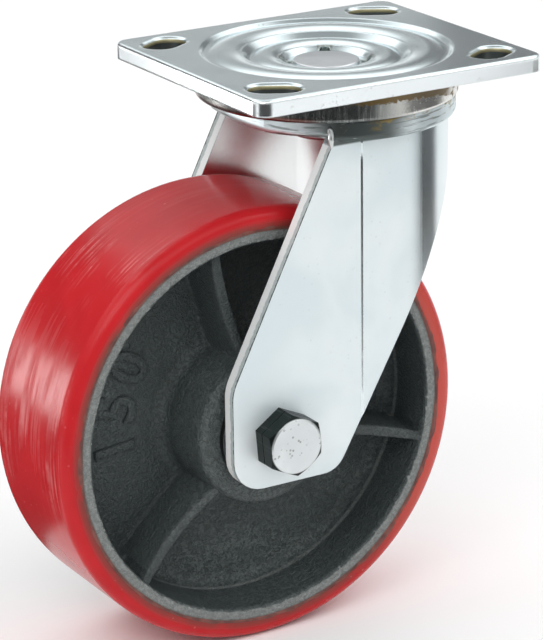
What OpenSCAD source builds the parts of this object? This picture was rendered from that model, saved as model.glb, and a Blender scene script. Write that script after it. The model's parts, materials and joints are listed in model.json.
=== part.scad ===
// Heavy swivel castor: pressed top plate, ball-race swivel and drawn fork,
// with a ribbed iron wheel that carries a bonded tread.
// Millimetres. The origin is the centre of the plate's top face and Z points up.
// The axle lies along Y, and the wheel trails behind the kingpin towards minus X.

/* [Top plate] */
// Length of the plate along X
plate_len = 110.5; // [106:0.5:130]
// Width of the plate along Y
plate_wid = 97.5; // [94:0.5:120]
// Thickness of the plate
plate_t = 5.6; // [5:0.1:7]
// Radius of the plate's corners
plate_corner_r = 5; // [3:0.5:8]
// Rounding of the plate's upper edge
plate_edge_r = 1.2; // [0.4:0.1:2]
// Distance between slot centres along X
slot_pitch_x = 84; // [80:0.5:86]
// Distance between slot centres along Y
slot_pitch_y = 72; // [68:0.5:74]
// Width of a bolt slot
slot_w = 11; // [8:0.5:12]
// Length of a bolt slot from end to end
slot_len = 17; // [13:0.5:19]
// Angle between a slot and the X axis
slot_angle = 30; // [0:1:45]
// Width of the rolled lip around a slot
slot_lip = 1.7; // [0.5:0.1:2.2]

/* [Plate pressing] */
// Outer radius of the pressed groove
groove_r = 42.5; // [41:0.5:45]
// Width of the groove's sloping outer side
groove_slope = 1.3; // [0.9:0.1:1.8]
// Rounding of the groove's outer lip
groove_lip_r = 1.2; // [0.6:0.1:1.6]
// Rounding of the corners of the groove's floor
groove_floor_round = 0.9; // [0.4:0.1:1]
// Width of the groove's floor
groove_w = 1.6; // [1:0.1:3]
// Depth of the groove
groove_depth = 1.2; // [0.5:0.1:1.8]
// Radius where the race ridge drops to the middle dish
ridge_inner_r = 28.2; // [27:0.2:30]
// Depth of the ridge's top below the plate's top face
ridge_low = 0.25; // [0.1:0.05:0.5]
// Width of the ridge's sloping sides
ridge_side = 2.4; // [1.6:0.1:2.8]
// Flat beside the ridge's inner foot
ridge_foot = 0.7; // [0.4:0.1:1.5]
// Rounding of the ridge's inner shoulder
ridge_inner_round = 0.8; // [0.4:0.1:1.2]
// Depth of the middle dish
dish_depth = 3.1; // [2.6:0.1:3.4]
// Height of the round swell in the dish
dish_swell = 0.9; // [0.4:0.1:1.2]
// Flat on each side of that swell
dish_foot = 1; // [0.6:0.1:1.4]
// Fall of the dish's underside from the ridge to the recess
dish_fall = 0.7; // [0.4:0.1:1]
// Rounding of the corners of the dish and the recess
dish_round = 0.8; // [0.4:0.1:1]
// How far the dish's underside stands below the plate
boss_depth = 1.9; // [1.4:0.1:2.2]
// How far the dish's underside lies inside the ridge's inner radius
boss_inset = 1.4; // [1:0.1:1.8]
// Wall beside the recess
boss_wall = 3; // [2.4:0.1:3.4]
// Rounding of the corners of the underside
boss_round = 1.2; // [0.6:0.1:1.3]
// Radius of the recess around the kingpin's head
recess_r = 15.4; // [14:0.2:17]
// Depth of that recess
recess_depth = 5; // [4.6:0.1:5.4]
// Width of the recess's sloping wall
recess_slope = 1.8; // [1.2:0.1:2.2]
// Thinning of the plate under the kingpin's head
recess_thin = 0.9; // [0.5:0.1:1.4]
// Number of staking notches beside the kingpin's head
stake_count = 4; // [2:1:6]
// Radius of a staking notch
stake_r = 1.9; // [1:0.1:2.4]
// Turn of the first staking notch from the X axis
stake_angle = 60; // [0:5:90]

/* [Swivel] */
// Diameter of the kingpin's shank
kingpin_d = 18; // [14:0.5:20]
// Diameter of the kingpin's riveted head
rivet_d = 22.6; // [21:0.2:26]
// Height of the riveted head above the recess floor
rivet_h = 1.1; // [0.6:0.1:2]
// Diameter of the kingpin's lower head
king_head_d = 25; // [22:0.5:30]
// Thickness of the kingpin's lower head
king_head_t = 4.5; // [3:0.5:7]
// Rounding of the lower head's edge
king_head_round = 1.2; // [0.5:0.1:2]
// Diameter of an upper ball
upper_ball_d = 11.1; // [9.5:0.1:11.1]
// Radius of the circle that the upper balls run on
upper_pitch_r = 32.5; // [31.5:0.1:33]
// Depth of the upper ball groove in the plate
plate_race_depth = 0.6; // [0.3:0.1:1]
// Diameter of a lower ball
lower_ball_d = 4.76; // [4:0.01:5]
// Radius of the circle that the lower balls run on
lower_pitch_r = 13.8; // [13.4:0.1:14.2]
// Depth of each lower ball groove
lower_race_depth = 0.8; // [0.4:0.1:1.2]
// Clearance between a ball and its groove
ball_gap = 0.12; // [0.05:0.01:0.25]
// Space left between neighbouring balls
ball_space = 0.35; // [0.2:0.05:1]
// Room between the upper balls and the race ring's wall
race_ring_gap = 2.75; // [1.75:0.05:3.75]
// Wall of the race ring
race_ring_wall = 4.2; // [3:0.1:4.6]
// Inward taper of the race ring over its height
race_ring_taper = 0.6; // [0:0.1:1.5]
// Rounding of the race ring's lower edge
race_ring_round = 1.4; // [0.5:0.1:2]
// Running gap between the race ring and the crown
crown_gap = 0.5; // [0.3:0.1:1]
// Radius of the lower cup
cup_r = 18.5; // [18.1:0.1:19.5]
// Thickness of the lower cup's floor
cup_t = 3; // [2.5:0.1:4]
// Rounding of the cup's lower edge
cup_round = 1.5; // [0.5:0.1:2.4]
// Wall of the lower cup's rim
cup_wall = 1.6; // [1:0.1:2]
// Clearance between the kingpin and the crown's bore
king_gap = 0.6; // [0.3:0.1:1]

/* [Fork] */
// Thickness of the fork's metal
fork_t = 5.5; // [4.5:0.1:6.5]
// Height of the crown's top face below the plate's top face
crown_drop = 15; // [14.5:0.1:16]
// Thickness of the crown
crown_t = 5.6; // [5:0.1:6.4]
// How far the crown's rim hangs below its underside
crown_lip = 1.6; // [0.8:0.1:2.2]
// Width of that hanging rim
crown_lip_w = 9; // [6:0.5:11]
// Distance behind the kingpin axis where the hanging rim ends
crown_lip_end = 19; // [15:0.5:20]
// Radius of the crown
crown_r = 41.5; // [40.5:0.1:42]
// Distance of the crown's centre ahead of the kingpin axis
crown_offset = 2.5; // [1.5:0.1:3]
// Distance of the crown's rear edge behind the kingpin axis
crown_back = 36.5; // [36.5:0.1:37.5]
// Radius of the crown's flatter rear edge
crown_back_r = 110; // [70:5:200]
// Rounding of the crown's lower edge
crown_round = 2.4; // [1:0.1:3]
// How far the middle of the crown is pressed upwards
crown_dome = 2.4; // [1.8:0.1:3]
// Gap between the pressed middle and the lower cup's rim
dome_gap = 1.4; // [1:0.1:2]
// Distance from the kingpin axis to the centre of the front wall's curve
wall_offset = 6.4; // [5:0.1:7]
// Depth of the pressed step along the leg
leg_step = 0.3; // [0.2:0.1:0.8]
// Distance of the pressed step behind the kingpin axis
leg_step_x = 8.4; // [6:0.1:14]
// Length of the step's slope
leg_ramp = 0.8; // [0.6:0.1:2.4]
// How far the legs run up into the crown
leg_sink = 1.2; // [0.5:0.1:3]
// Radius of the leg's rear upper corner
leg_top_r = 2; // [0.5:0.1:3]
// Distance the wheel's axle trails behind the kingpin axis
trail = 40.7; // [36:0.1:44]
// Depth of the axle below the plate's top face
axle_drop = 119.9; // [118:0.1:130]
// Distance from the axle to the leg's lower edge
leg_below = 16.6; // [13:0.1:20]
// Distance from the axle to the leg's rear edge
leg_behind = 18.2; // [16:0.1:24]
// Height of the kink in the rear edge above the axle
leg_kink = 19.2; // [14:0.1:30]
// Lean of the leg's rear edge from the vertical
rear_lean = 26.5; // [22:0.5:30]
// Lean of the leg's front edge from the vertical
front_lean = 29.3; // [26:0.1:32]
// Distance from the axle to the front corner of the leg's lower edge
leg_ahead = 21.9; // [18:0.1:25]
// Radius of the leg's rear lower corner
rear_corner_r = 11; // [6:0.5:14]
// Radius of the leg's front lower corner
front_corner_r = 9; // [5:0.5:14]
// Radius of the kink in the rear edge
kink_r = 14; // [6:1:24]

/* [Wheel] */
// Diameter of the tread
wheel_d = 152.4; // [148:0.2:154]
// Width of the tread
tread_w = 50; // [46:0.5:52]
// Thickness of the tread on the rim
tread_t = 6.5; // [5.5:0.1:9]
// Rounding of the tread's edges
tread_edge_r = 4.6; // [1.5:0.1:5.5]
// How far the iron rim lies inside the tread's side face
rim_inset = 0.3; // [0:0.1:1]
// Thickness of the iron rim at its face
rim_t = 4.4; // [3:0.1:6]
// Rounding of the rim's inner edge
rim_edge_r = 0.5; // [0.2:0.1:1]
// Extra thickness of the rim where it meets the web
rim_draft = 2.6; // [1:0.1:4]
// Thickness of the web
web_t = 8; // [6:0.5:12]
// Diameter of the hub
hub_d = 52; // [48:0.5:56]
// Length of the hub
hub_len = 54.4; // [53:0.2:58]
// Widening of the hub's radius where it meets the web
hub_draft = 1.4; // [0.5:0.1:3]
// Rounding of the hub's ends
hub_edge_r = 2.6; // [1:0.1:4]
// Radius of the cast fillets at the web
web_fillet_r = 4; // [2:0.5:6]
// Number of ribs on each side of the web
rib_count = 3; // [3:1:6]
// Thickness of a rib at its free edge
rib_t = 2.8; // [2:0.1:4]
// Thickness of a rib at the web
rib_root_t = 6; // [4:0.1:9]
// Dip of a rib's free edge between hub and rim
rib_dip = 4; // [1:0.5:8]
// How far a rib's free edge lies inside the rim's face
rib_low = 0.4; // [0.2:0.1:2]
// Angle of the first rib from the X axis, towards Z
rib_angle = -15; // [-60:0.5:60]

/* [Axle and bearing] */
// Diameter of the axle bolt
bolt_d = 12.7; // [10:0.1:14]
// Width across the flats of the bolt's head and the nut
hex_af = 19; // [18:0.1:22]
// Height of the bolt's head
bolt_head_h = 10; // [8:0.1:12]
// Turn of the bolt's head around the axle
bolt_turn = 5; // [0:1:59]
// How far the round face of a head or nut lies inside its flats
hex_face_inset = 0.5; // [0:0.1:0.8]
// Height of the cone that bevels the corners of a head or nut
hex_cone_h = 3; // [2:0.1:4]
// Slope of that cone
hex_cone_angle = 30; // [20:1:40]
// Distance of the scored line from the head's outer face
head_line = 6; // [3:0.1:6.5]
// Depth of the scored line
head_line_depth = 0.3; // [0.1:0.1:0.6]
// Width of the scored line
head_line_w = 0.5; // [0.3:0.1:0.8]
// Height of the nut
nut_h = 10.5; // [8:0.1:13]
// Length of bolt that shows past the nut
bolt_end = 3.5; // [1:0.1:8]
// Thickness of the flat washer under the nut
flat_washer_t = 2; // [1:0.1:3]
// Diameter of the flat washer
flat_washer_d = 27; // [24:0.5:30]
// Thickness of the spring washer
spring_washer_t = 2.5; // [1.5:0.1:4]
// Radial width of the spring washer
spring_washer_w = 3.4; // [2:0.1:4]
// Width of the split in the spring washer
spring_split = 1.6; // [0.8:0.1:3]
// Tilt of the split
spring_tilt = 20; // [0:1:30]
// Clearance around the bolt in the fork, the washers and the sleeve
bolt_gap = 0.2; // [0.1:0.05:0.4]
// Outer diameter of the axle sleeve
sleeve_d = 22; // [19:0.5:24]
// Diameter of a roller
roller_d = 6; // [4.5:0.1:7]
// Number of rollers
roller_count = 12; // [8:1:12]
// Running clearance of the rollers on the sleeve and in the hub
roller_gap = 0.1; // [0.05:0.01:0.2]
// Room between the end of the roller cage and a thrust washer
cage_end_gap = 1.85; // [0.5:0.05:4]
// Width of each end ring of the roller cage
cage_ring = 2.5; // [1.5:0.1:3]
// Radial wall of the roller cage
cage_wall = 3.4; // [2:0.1:3.8]
// Clearance of a roller in its cage pocket
pocket_gap = 0.25; // [0.15:0.05:0.5]
// Thickness of a thrust washer
thrust_t = 2.4; // [1.5:0.1:4]
// Diameter of a thrust washer
thrust_d = 38; // [36:0.5:44]
// Running gap between a thrust washer and the hub
hub_gap = 0.4; // [0.3:0.05:0.8]

/* [Hidden] */
$fn = 96;

// Straight pieces in each rounded corner of an outline
arc_steps = 7;
// Reach of a cut past the face that it leaves by
over = 1;
// Clearance between two pieces of one body where one is fixed inside the other
fixed_gap = 0.02;
// Bevel of small turned and pressed edges
small_bevel = 0.6;
// Half of the angle between two flats of a hexagon
hex_half = 30;
// Straight pieces around a roller
roller_sides = 48;

// Levels along Z
groove_floor_r = groove_r - groove_slope;
race_top = -plate_t + plate_race_depth;
upper_ball_z = race_top - ball_gap - upper_ball_d / 2;
upper_track_r = upper_ball_d / 2 + ball_gap;
race_ring_r = upper_pitch_r + upper_ball_d / 2 + race_ring_gap + race_ring_wall;
crown_top = -crown_drop;
crown_bottom = crown_top - crown_t;
dome_under = crown_bottom + crown_dome;
lower_track_r = lower_ball_d / 2 + ball_gap;
lower_ball_z = dome_under + lower_race_depth - lower_track_r;
cup_top = lower_ball_z - lower_track_r + lower_race_depth;
cup_bottom = cup_top - cup_t;
recess_floor = -recess_depth;
boss_t = plate_t - recess_thin;
boss_bottom = recess_floor - boss_t;
axle_z = -axle_drop;

// Levels along Y, from the wheel's middle plane outwards
leg_inner = hub_len / 2 + hub_gap + thrust_t;
leg_outer = leg_inner + fork_t;

// Radii around the axle
wheel_r = wheel_d / 2;
rim_r = wheel_r - tread_t;
rim_face_y = tread_w / 2 - rim_inset;
hub_bore_r = sleeve_d / 2 + roller_d + 2 * roller_gap;
roller_pitch_r = sleeve_d / 2 + roller_gap + roller_d / 2;
roller_len = hub_len + 2 * (hub_gap - cage_end_gap - cage_ring - pocket_gap);

// Curved front wall of the fork
wall_r = leg_outer + leg_step;

// Unit vector along v
function unit(v) = v / norm(v);

// Points of the arc of radius r that rounds corner b between points a and c
function corner_arc(a, b, c, r) =
    let (
        u = unit(a - b),
        v = unit(c - b),
        half = acos(u * v) / 2,
        reach = r / tan(half),
        middle = b + unit(u + v) * r / sin(half),
        from = b + u * reach - middle,
        to = b + v * reach - middle,
        start = atan2(from.y, from.x),
        raw = atan2(to.y, to.x) - start,
        turn = raw > 180 ? raw - 360 : raw < -180 ? raw + 360 : raw
    )
    [for (i = [0:arc_steps])
        let (angle = start + turn * i / arc_steps)
        middle + r * [cos(angle), sin(angle)]];

// Closed outline from [x, y, radius] corners, with a radius of 0 for a sharp corner
function outline(corners) =
    let (n = len(corners), p = [for (c = corners) [c[0], c[1]]])
    [for (i = [0:n - 1])
        each (corners[i][2] == 0
            ? [p[i]]
            : corner_arc(p[(i + n - 1) % n], p[i], p[(i + 1) % n], corners[i][2]))];

// Number of balls of diameter d that fit around a circle of radius r
function ball_count(r, d) = floor(180 / asin((d + ball_space) / (2 * r)));

// Children turned so that their Z axis lies along the axle, at the axle's place
module at_axle() {
    translate([-trail, 0, axle_z])
        rotate([90, 0, 0])
            children();
}

// Ring from radius r_in to r_out between heights low and high
module ring(r_in, r_out, low, high) {
    translate([0, 0, low])
        difference() {
            cylinder(r = r_out, h = high - low);
            translate([0, 0, -over])
                cylinder(r = r_in, h = high - low + 2 * over);
        }
}

// Ring-shaped groove of circular section
module track(pitch_r, r, z) {
    rotate_extrude()
        translate([pitch_r, z])
            circle(r = r);
}

// Circle of balls
module balls(pitch_r, d, z) {
    count = ball_count(pitch_r, d);
    for (i = [0:count - 1])
        rotate([0, 0, 360 * i / count])
            translate([pitch_r, 0, z])
                sphere(d = d);
}

// Hexagonal prism with one flat towards the X axis
module hex_prism(af, h) {
    rotate([0, 0, hex_half])
        cylinder(d = af / cos(hex_half), h = h, $fn = 6);
}

// Slot of width w and overall length l, from height low to high
module slot(w, l, low, high) {
    run = (l - w) / 2;
    translate([0, 0, low]) {
        for (side = [-1, 1])
            translate([side * run, 0, 0])
                cylinder(d = w, h = high - low);
        translate([-run, -w / 2, 0])
            cube([2 * run, w, high - low]);
    }
}

// Rolled lip of a slot, widest at the plate's top face
module slot_lip_cut() {
    run = (slot_len - slot_w) / 2;
    r = slot_w / 2;
    lip = [[0, over], [r + slot_lip, over], each slot_lip_points(r), [0, -slot_lip]];
    for (side = [-1, 1])
        translate([side * run, 0, 0])
            rotate_extrude()
                polygon(lip);
    translate([-run, 0, 0])
        rotate([90, 0, 90])
            linear_extrude(height = 2 * run)
                union() {
                    polygon(lip);
                    mirror([1, 0])
                        polygon(lip);
                }
}

// Section of the rolled lip: a quarter round from the top face into the slot's wall
function slot_lip_points(r) =
    [for (i = [0:arc_steps])
        let (angle = 90 * i / arc_steps)
        [r + slot_lip, -slot_lip] + slot_lip * [-sin(angle), cos(angle)]];

// Section of the plate's edge: a flat slab whose upper corner at distance reach is rounded
module edge_section(reach) {
    e = plate_edge_r;
    polygon(outline([[0, 0, 0], [0, -plate_t, 0], [reach, -plate_t, 0], [reach, 0, e]]));
}

// Flat slab of the plate with round corners and a rounded upper edge
module plate_slab() {
    half_x = plate_len / 2;
    half_y = plate_wid / 2;
    flat_x = half_x - plate_corner_r;
    flat_y = half_y - plate_corner_r;
    for (side = [0, 180])
        rotate([0, 0, side]) {
            translate([0, flat_y, 0])
                rotate([90, 0, 0])
                    linear_extrude(height = 2 * flat_y)
                        edge_section(half_x);
            translate([-flat_x, 0, 0])
                rotate([90, 0, 90])
                    linear_extrude(height = 2 * flat_x)
                        edge_section(half_y);
        }
    for (sx = [-1, 1], sy = [-1, 1])
        translate([sx * flat_x, sy * flat_y, 0])
            rotate_extrude()
                edge_section(plate_corner_r);
}

// Section of a round swell that stands on a flat floor between two radii
module swell(from, to, floor_z, rise) {
    w = to - from;
    r = w * w / (8 * rise) + rise / 2;
    intersection() {
        translate([(from + to) / 2, floor_z + rise - r])
            circle(r = r);
        translate([from, floor_z - rise])
            square([w, 2 * rise + over]);
    }
}

// Space above the pressed top face, turned around the kingpin axis
module pressing_cut() {
    lip = corner_arc([groove_r + plate_t, 0], [groove_r, 0], [groove_floor_r, -groove_depth], groove_lip_r);
    dish_r = ridge_inner_r - ridge_side;
    inner = [
        [groove_floor_r, -groove_depth], [ridge_inner_r, -groove_depth], [dish_r, -dish_depth],
        [recess_r, -dish_depth], [recess_r - recess_slope, recess_floor], [0, recess_floor]];
    radii = [groove_floor_round, ridge_inner_round, dish_round, dish_round, dish_round];
    rotate_extrude()
        difference() {
            polygon([
                [0, over], [lip[0].x, over], each lip,
                for (i = [0:len(radii) - 1])
                    each corner_arc(i == 0 ? [groove_r, 0] : inner[i - 1], inner[i], inner[i + 1], radii[i]),
                [0, recess_floor]]);
            swell(ridge_inner_r + ridge_foot, groove_floor_r - groove_w, -groove_depth, groove_depth - ridge_low);
            swell(recess_r + dish_foot, dish_r - dish_foot, -dish_depth, dish_swell);
        }
}

// Underside of the pressed middle of the plate
module pressing_boss() {
    skirt_r = ridge_inner_r - boss_inset;
    dish_under = -plate_t - boss_depth;
    rotate_extrude()
        polygon(outline([
            [0, -plate_t / 2, 0], [skirt_r, -plate_t / 2, 0], [skirt_r, -plate_t, 0],
            [skirt_r - ridge_side, dish_under, boss_round],
            [recess_r + boss_wall, dish_under - dish_fall, boss_round],
            [recess_r + boss_wall - recess_slope, boss_bottom, boss_round], [0, boss_bottom, 0]]));
}

// Pressed top plate with four bolt slots
module top_plate() {
    color("silver")
        difference() {
            union() {
                plate_slab();
                pressing_boss();
            }
            pressing_cut();
            track(upper_pitch_r, upper_track_r, upper_ball_z);
            translate([0, 0, boss_bottom - over])
                cylinder(r = kingpin_d / 2 + fixed_gap, h = boss_t + 2 * over);
            for (sx = [-1, 1], sy = [-1, 1])
                translate([sx * slot_pitch_x / 2, sy * slot_pitch_y / 2, 0])
                    rotate([0, 0, sx * sy * -slot_angle]) {
                        slot(slot_w, slot_len, -plate_t - over, over);
                        slot_lip_cut();
                    }
            for (i = [0:stake_count - 1])
                rotate([0, 0, 360 * i / stake_count + stake_angle])
                    translate([recess_r - recess_slope, 0, recess_floor - stake_r / 2])
                        cylinder(r = stake_r, h = recess_depth);
        }
}

// Ring under the plate that closes the upper ball race
module race_ring() {
    low = crown_top + crown_gap;
    r_in = race_ring_r - race_ring_wall;
    color("silver")
        rotate_extrude()
            polygon(outline([
                [r_in, -plate_t, 0], [race_ring_r, -plate_t, 0],
                [race_ring_r - race_ring_taper, low, race_ring_round], [r_in, low, small_bevel]]));
}

// Kingpin riveted over the plate, with a forged head under the lower cup
module kingpin() {
    r = kingpin_d / 2;
    head_low = cup_bottom - king_head_t;
    color("lightsteelblue")
        rotate_extrude()
            polygon(outline([
                [0, head_low, 0], [king_head_d / 2, head_low, king_head_round],
                [king_head_d / 2, cup_bottom, small_bevel],
                [r, cup_bottom, 0], [r, recess_floor, 0], [rivet_d / 2, recess_floor, 0],
                [rivet_d / 2, recess_floor + rivet_h, small_bevel], [0, recess_floor + rivet_h, 0]]));
}

// Cup on the kingpin that carries the lower balls
module lower_cup() {
    bore = kingpin_d / 2 + fixed_gap;
    rim_top = cup_top + lower_ball_d / 2;
    floor_r = cup_r - cup_wall;
    color("silver")
        difference() {
            rotate_extrude()
                polygon(outline([
                    [bore, cup_bottom, 0], [cup_r, cup_bottom, cup_round], [cup_r, rim_top, 0],
                    [floor_r, rim_top, 0], [floor_r, cup_top, 0], [bore, cup_top, 0]]));
            track(lower_pitch_r, lower_track_r, lower_ball_z);
        }
}

// Balls between the plate and the crown
module upper_balls() {
    color("gainsboro")
        balls(upper_pitch_r, upper_ball_d, upper_ball_z);
}

// Balls between the crown and the lower cup
module lower_balls() {
    color("gainsboro")
        balls(lower_pitch_r, lower_ball_d, lower_ball_z);
}

// Leg on the side of plus Y, from the front wall's centre backwards, with its pressed step
module leg_plan() {
    back = -trail - leg_behind - over;
    polygon([
        [wall_offset, wall_r], [-leg_step_x, wall_r], [-leg_step_x - leg_ramp, leg_outer], [back, leg_outer],
        [back, leg_inner], [-leg_step_x - leg_ramp, leg_inner], [-leg_step_x, wall_r - fork_t],
        [wall_offset, wall_r - fork_t]]);
}

// Plan of the fork's walls: two legs joined by a half-round front wall
module fork_walls(low, high) {
    h = high - low;
    translate([0, 0, low]) {
        for (side = [0, 1])
            mirror([0, side, 0])
                linear_extrude(height = h)
                    leg_plan();
        translate([wall_offset, 0, 0])
            intersection() {
                ring(wall_r - fork_t, wall_r, 0, h);
                translate([0, -wall_r - over, 0])
                    cube([wall_r + over, 2 * (wall_r + over), h]);
            }
    }
}

// Side outline of the fork, in X and Z
module fork_side(top) {
    low = axle_z - leg_below;
    back = -trail - leg_behind;
    kink_z = axle_z + leg_kink;
    front_x = -trail + leg_ahead;
    reach = wall_offset + wall_r + over;
    polygon(outline([
        [back + (top - kink_z) * tan(rear_lean), top, leg_top_r], [back, kink_z, kink_r],
        [back, low, rear_corner_r], [front_x, low, front_corner_r],
        [reach, low + (reach - front_x) / tan(front_lean), 0], [reach, top, 0]]));
}

// Disc of the crown's thickness with a rounded lower edge
module crown_disc(r) {
    rotate_extrude()
        polygon(outline([
            [0, crown_bottom, 0], [r, crown_bottom, crown_round], [r, crown_top, small_bevel],
            [0, crown_top, 0]]));
}

// Rim of the crown that hangs down beside the walls
module crown_rim() {
    low = crown_bottom - crown_lip;
    r_in = crown_r - crown_lip_w;
    reach = crown_r + over;
    intersection() {
        translate([crown_offset, 0, 0])
            rotate_extrude()
                polygon(outline([
                    [r_in - crown_lip, crown_bottom, 0], [r_in, low, 0], [crown_r, low, crown_round],
                    [crown_r, crown_top, small_bevel], [r_in - crown_lip, crown_top, 0]]));
        translate([-crown_lip_end, -reach, low - over])
            cube([crown_lip_end + crown_offset + reach, 2 * reach, crown_t + crown_lip + 2 * over]);
    }
}

// Crown with its pressed middle, before the ball grooves and the bore
module crown() {
    dome_r = cup_r + dome_gap;
    dome_foot = dome_r + crown_dome;
    difference() {
        union() {
            intersection() {
                translate([crown_offset, 0, 0])
                    crown_disc(crown_r);
                translate([crown_back_r - crown_back, 0, 0])
                    crown_disc(crown_back_r);
            }
            crown_rim();
            rotate_extrude()
                polygon([
                    [0, crown_top - over], [dome_foot, crown_top - over], [dome_foot, crown_top],
                    [dome_r, crown_top + crown_dome], [0, crown_top + crown_dome]]);
        }
        rotate_extrude()
            polygon([
                [0, crown_bottom - over], [dome_foot, crown_bottom - over], [dome_foot, crown_bottom],
                [dome_r, dome_under], [0, dome_under]]);
    }
}

// Drawn fork: crown, curved front wall and two legs in one piece
module fork() {
    leg_top = crown_bottom + leg_sink;
    color("whitesmoke")
        difference() {
            union() {
                crown();
                intersection() {
                    fork_walls(axle_z - leg_below - over, leg_top + over);
                    translate([0, wall_r + over, 0])
                        rotate([90, 0, 0])
                            linear_extrude(height = 2 * (wall_r + over))
                                fork_side(leg_top);
                }
            }
            track(upper_pitch_r, upper_track_r, upper_ball_z);
            track(lower_pitch_r, lower_track_r, lower_ball_z);
            translate([0, 0, crown_bottom - over])
                cylinder(r = kingpin_d / 2 + king_gap, h = crown_t + crown_dome + 2 * over);
            at_axle()
                translate([0, 0, -leg_outer - over])
                    cylinder(r = bolt_d / 2 + bolt_gap, h = 2 * (leg_outer + over));
        }
}

// Axle bolt with a tall scored head on the near leg
module axle_bolt() {
    tip = leg_outer + flat_washer_t + spring_washer_t + nut_h + bolt_end;
    face_r = hex_af / 2 - hex_face_inset;
    cone_r = face_r + hex_cone_h / tan(hex_cone_angle);
    color("lightgray")
        at_axle() {
            intersection() {
                rotate([0, 0, bolt_turn])
                    difference() {
                        translate([0, 0, leg_outer])
                            hex_prism(hex_af, bolt_head_h);
                        translate([0, 0, leg_outer + bolt_head_h - head_line])
                            difference() {
                                cylinder(r = hex_af, h = head_line_w);
                                translate([0, 0, -over])
                                    hex_prism(hex_af - 2 * head_line_depth, head_line_w + 2 * over);
                            }
                    }
                union() {
                    translate([0, 0, leg_outer])
                        cylinder(r = hex_af, h = bolt_head_h - hex_cone_h);
                    translate([0, 0, leg_outer + bolt_head_h - hex_cone_h])
                        cylinder(r1 = cone_r, r2 = face_r, h = hex_cone_h);
                }
            }
            translate([0, 0, -tip])
                cylinder(r1 = bolt_d / 2 - small_bevel, r2 = bolt_d / 2, h = small_bevel);
            translate([0, 0, -tip + small_bevel])
                cylinder(d = bolt_d, h = tip + leg_outer - small_bevel + over);
        }
}

// Hexagonal nut at the far end of the axle bolt
module axle_nut() {
    low = leg_outer + flat_washer_t + spring_washer_t;
    face_r = hex_af / 2 - hex_face_inset;
    cone_r = face_r + hex_cone_h / tan(hex_cone_angle);
    color("lightgray")
        at_axle()
            translate([0, 0, -low - nut_h])
                difference() {
                    intersection() {
                        hex_prism(hex_af, nut_h);
                        union() {
                            cylinder(r1 = face_r, r2 = cone_r, h = hex_cone_h);
                            translate([0, 0, hex_cone_h])
                                cylinder(r = hex_af, h = nut_h - hex_cone_h);
                        }
                    }
                    translate([0, 0, -over])
                        cylinder(r = bolt_d / 2 + fixed_gap, h = nut_h + 2 * over);
                }
}

// Flat washer between the far leg and the spring washer
module flat_washer() {
    color("lightgray")
        at_axle()
            ring(bolt_d / 2 + bolt_gap, flat_washer_d / 2, -leg_outer - flat_washer_t, -leg_outer);
}

// Split spring washer under the nut
module spring_washer() {
    r_in = bolt_d / 2 + bolt_gap;
    high = -leg_outer - flat_washer_t;
    color("gray")
        at_axle()
            difference() {
                ring(r_in, r_in + spring_washer_w, high - spring_washer_t, high);
                translate([0, 0, high - spring_washer_t / 2])
                    rotate([spring_tilt, 0, 0])
                        translate([0, -spring_split / 2, -spring_washer_t])
                            cube([hex_af, spring_split, 2 * spring_washer_t]);
            }
}

// Hardened sleeve that the fork's legs clamp and the rollers run on
module axle_sleeve() {
    color("gainsboro")
        at_axle()
            ring(bolt_d / 2 + bolt_gap, sleeve_d / 2, -leg_inner, leg_inner);
}

// Washer between a leg and the hub, on the side given by the sign
module thrust_washer(side) {
    low = leg_inner - thrust_t;
    color("dimgray")
        at_axle()
            mirror([0, 0, side > 0 ? 0 : 1])
                ring(sleeve_d / 2 + bolt_gap, thrust_d / 2, low, leg_inner);
}

// Thrust washer beside the bolt's head
module near_thrust_washer() {
    thrust_washer(1);
}

// Thrust washer beside the nut
module far_thrust_washer() {
    thrust_washer(-1);
}

// Cage that keeps the rollers apart
module roller_cage() {
    half = roller_len / 2 + pocket_gap + cage_ring;
    pocket_w = roller_d + 2 * pocket_gap;
    pocket_l = roller_len + 2 * pocket_gap;
    color("darkgoldenrod")
        at_axle()
            difference() {
                ring(roller_pitch_r - cage_wall / 2, roller_pitch_r + cage_wall / 2, -half, half);
                for (i = [0:roller_count - 1])
                    rotate([0, 0, 360 * i / roller_count])
                        translate([roller_pitch_r - cage_wall, -pocket_w / 2, -pocket_l / 2])
                            cube([2 * cage_wall, pocket_w, pocket_l]);
            }
}

// Rollers between the sleeve and the hub
module rollers() {
    color("gainsboro")
        at_axle()
            for (i = [0:roller_count - 1])
                rotate([0, 0, 360 * i / roller_count])
                    translate([roller_pitch_r, 0, -roller_len / 2])
                        cylinder(d = roller_d, h = roller_len, $fn = roller_sides);
}

// Half section of the iron wheel, from its middle plane outwards: radius along X, width along Y
module core_section() {
    web_y = web_t / 2;
    hub_r = hub_d / 2;
    rim_in = rim_r - rim_t;
    polygon(outline([
        [hub_bore_r, 0, 0], [rim_r, 0, 0], [rim_r, rim_face_y, 0], [rim_in, rim_face_y, rim_edge_r],
        [rim_in - rim_draft, web_y, web_fillet_r], [hub_r + hub_draft, web_y, web_fillet_r],
        [hub_r, hub_len / 2, hub_edge_r], [hub_bore_r, hub_len / 2, small_bevel]]));
}

// Rib on one side of the web: a tapered bar along X whose free edge dips between hub and rim
module rib() {
    from = (hub_bore_r + hub_d / 2) / 2;
    to = rim_r - rim_t / 2;
    root = web_t / 2 - over;
    top = rim_face_y - rib_low;
    gap = to - hub_d / 2;
    dip_r = gap * gap / (8 * rib_dip) + rib_dip / 2;
    difference() {
        translate([from, 0, 0])
            rotate([90, 0, 90])
                linear_extrude(height = to - from)
                    polygon([
                        [-rib_root_t / 2, root], [rib_root_t / 2, root],
                        [rib_t / 2, top], [-rib_t / 2, top]]);
        translate([hub_d / 2 + gap / 2, rib_root_t, top - rib_dip + dip_r])
            rotate([90, 0, 0])
                cylinder(r = dip_r, h = 2 * rib_root_t);
    }
}

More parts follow.
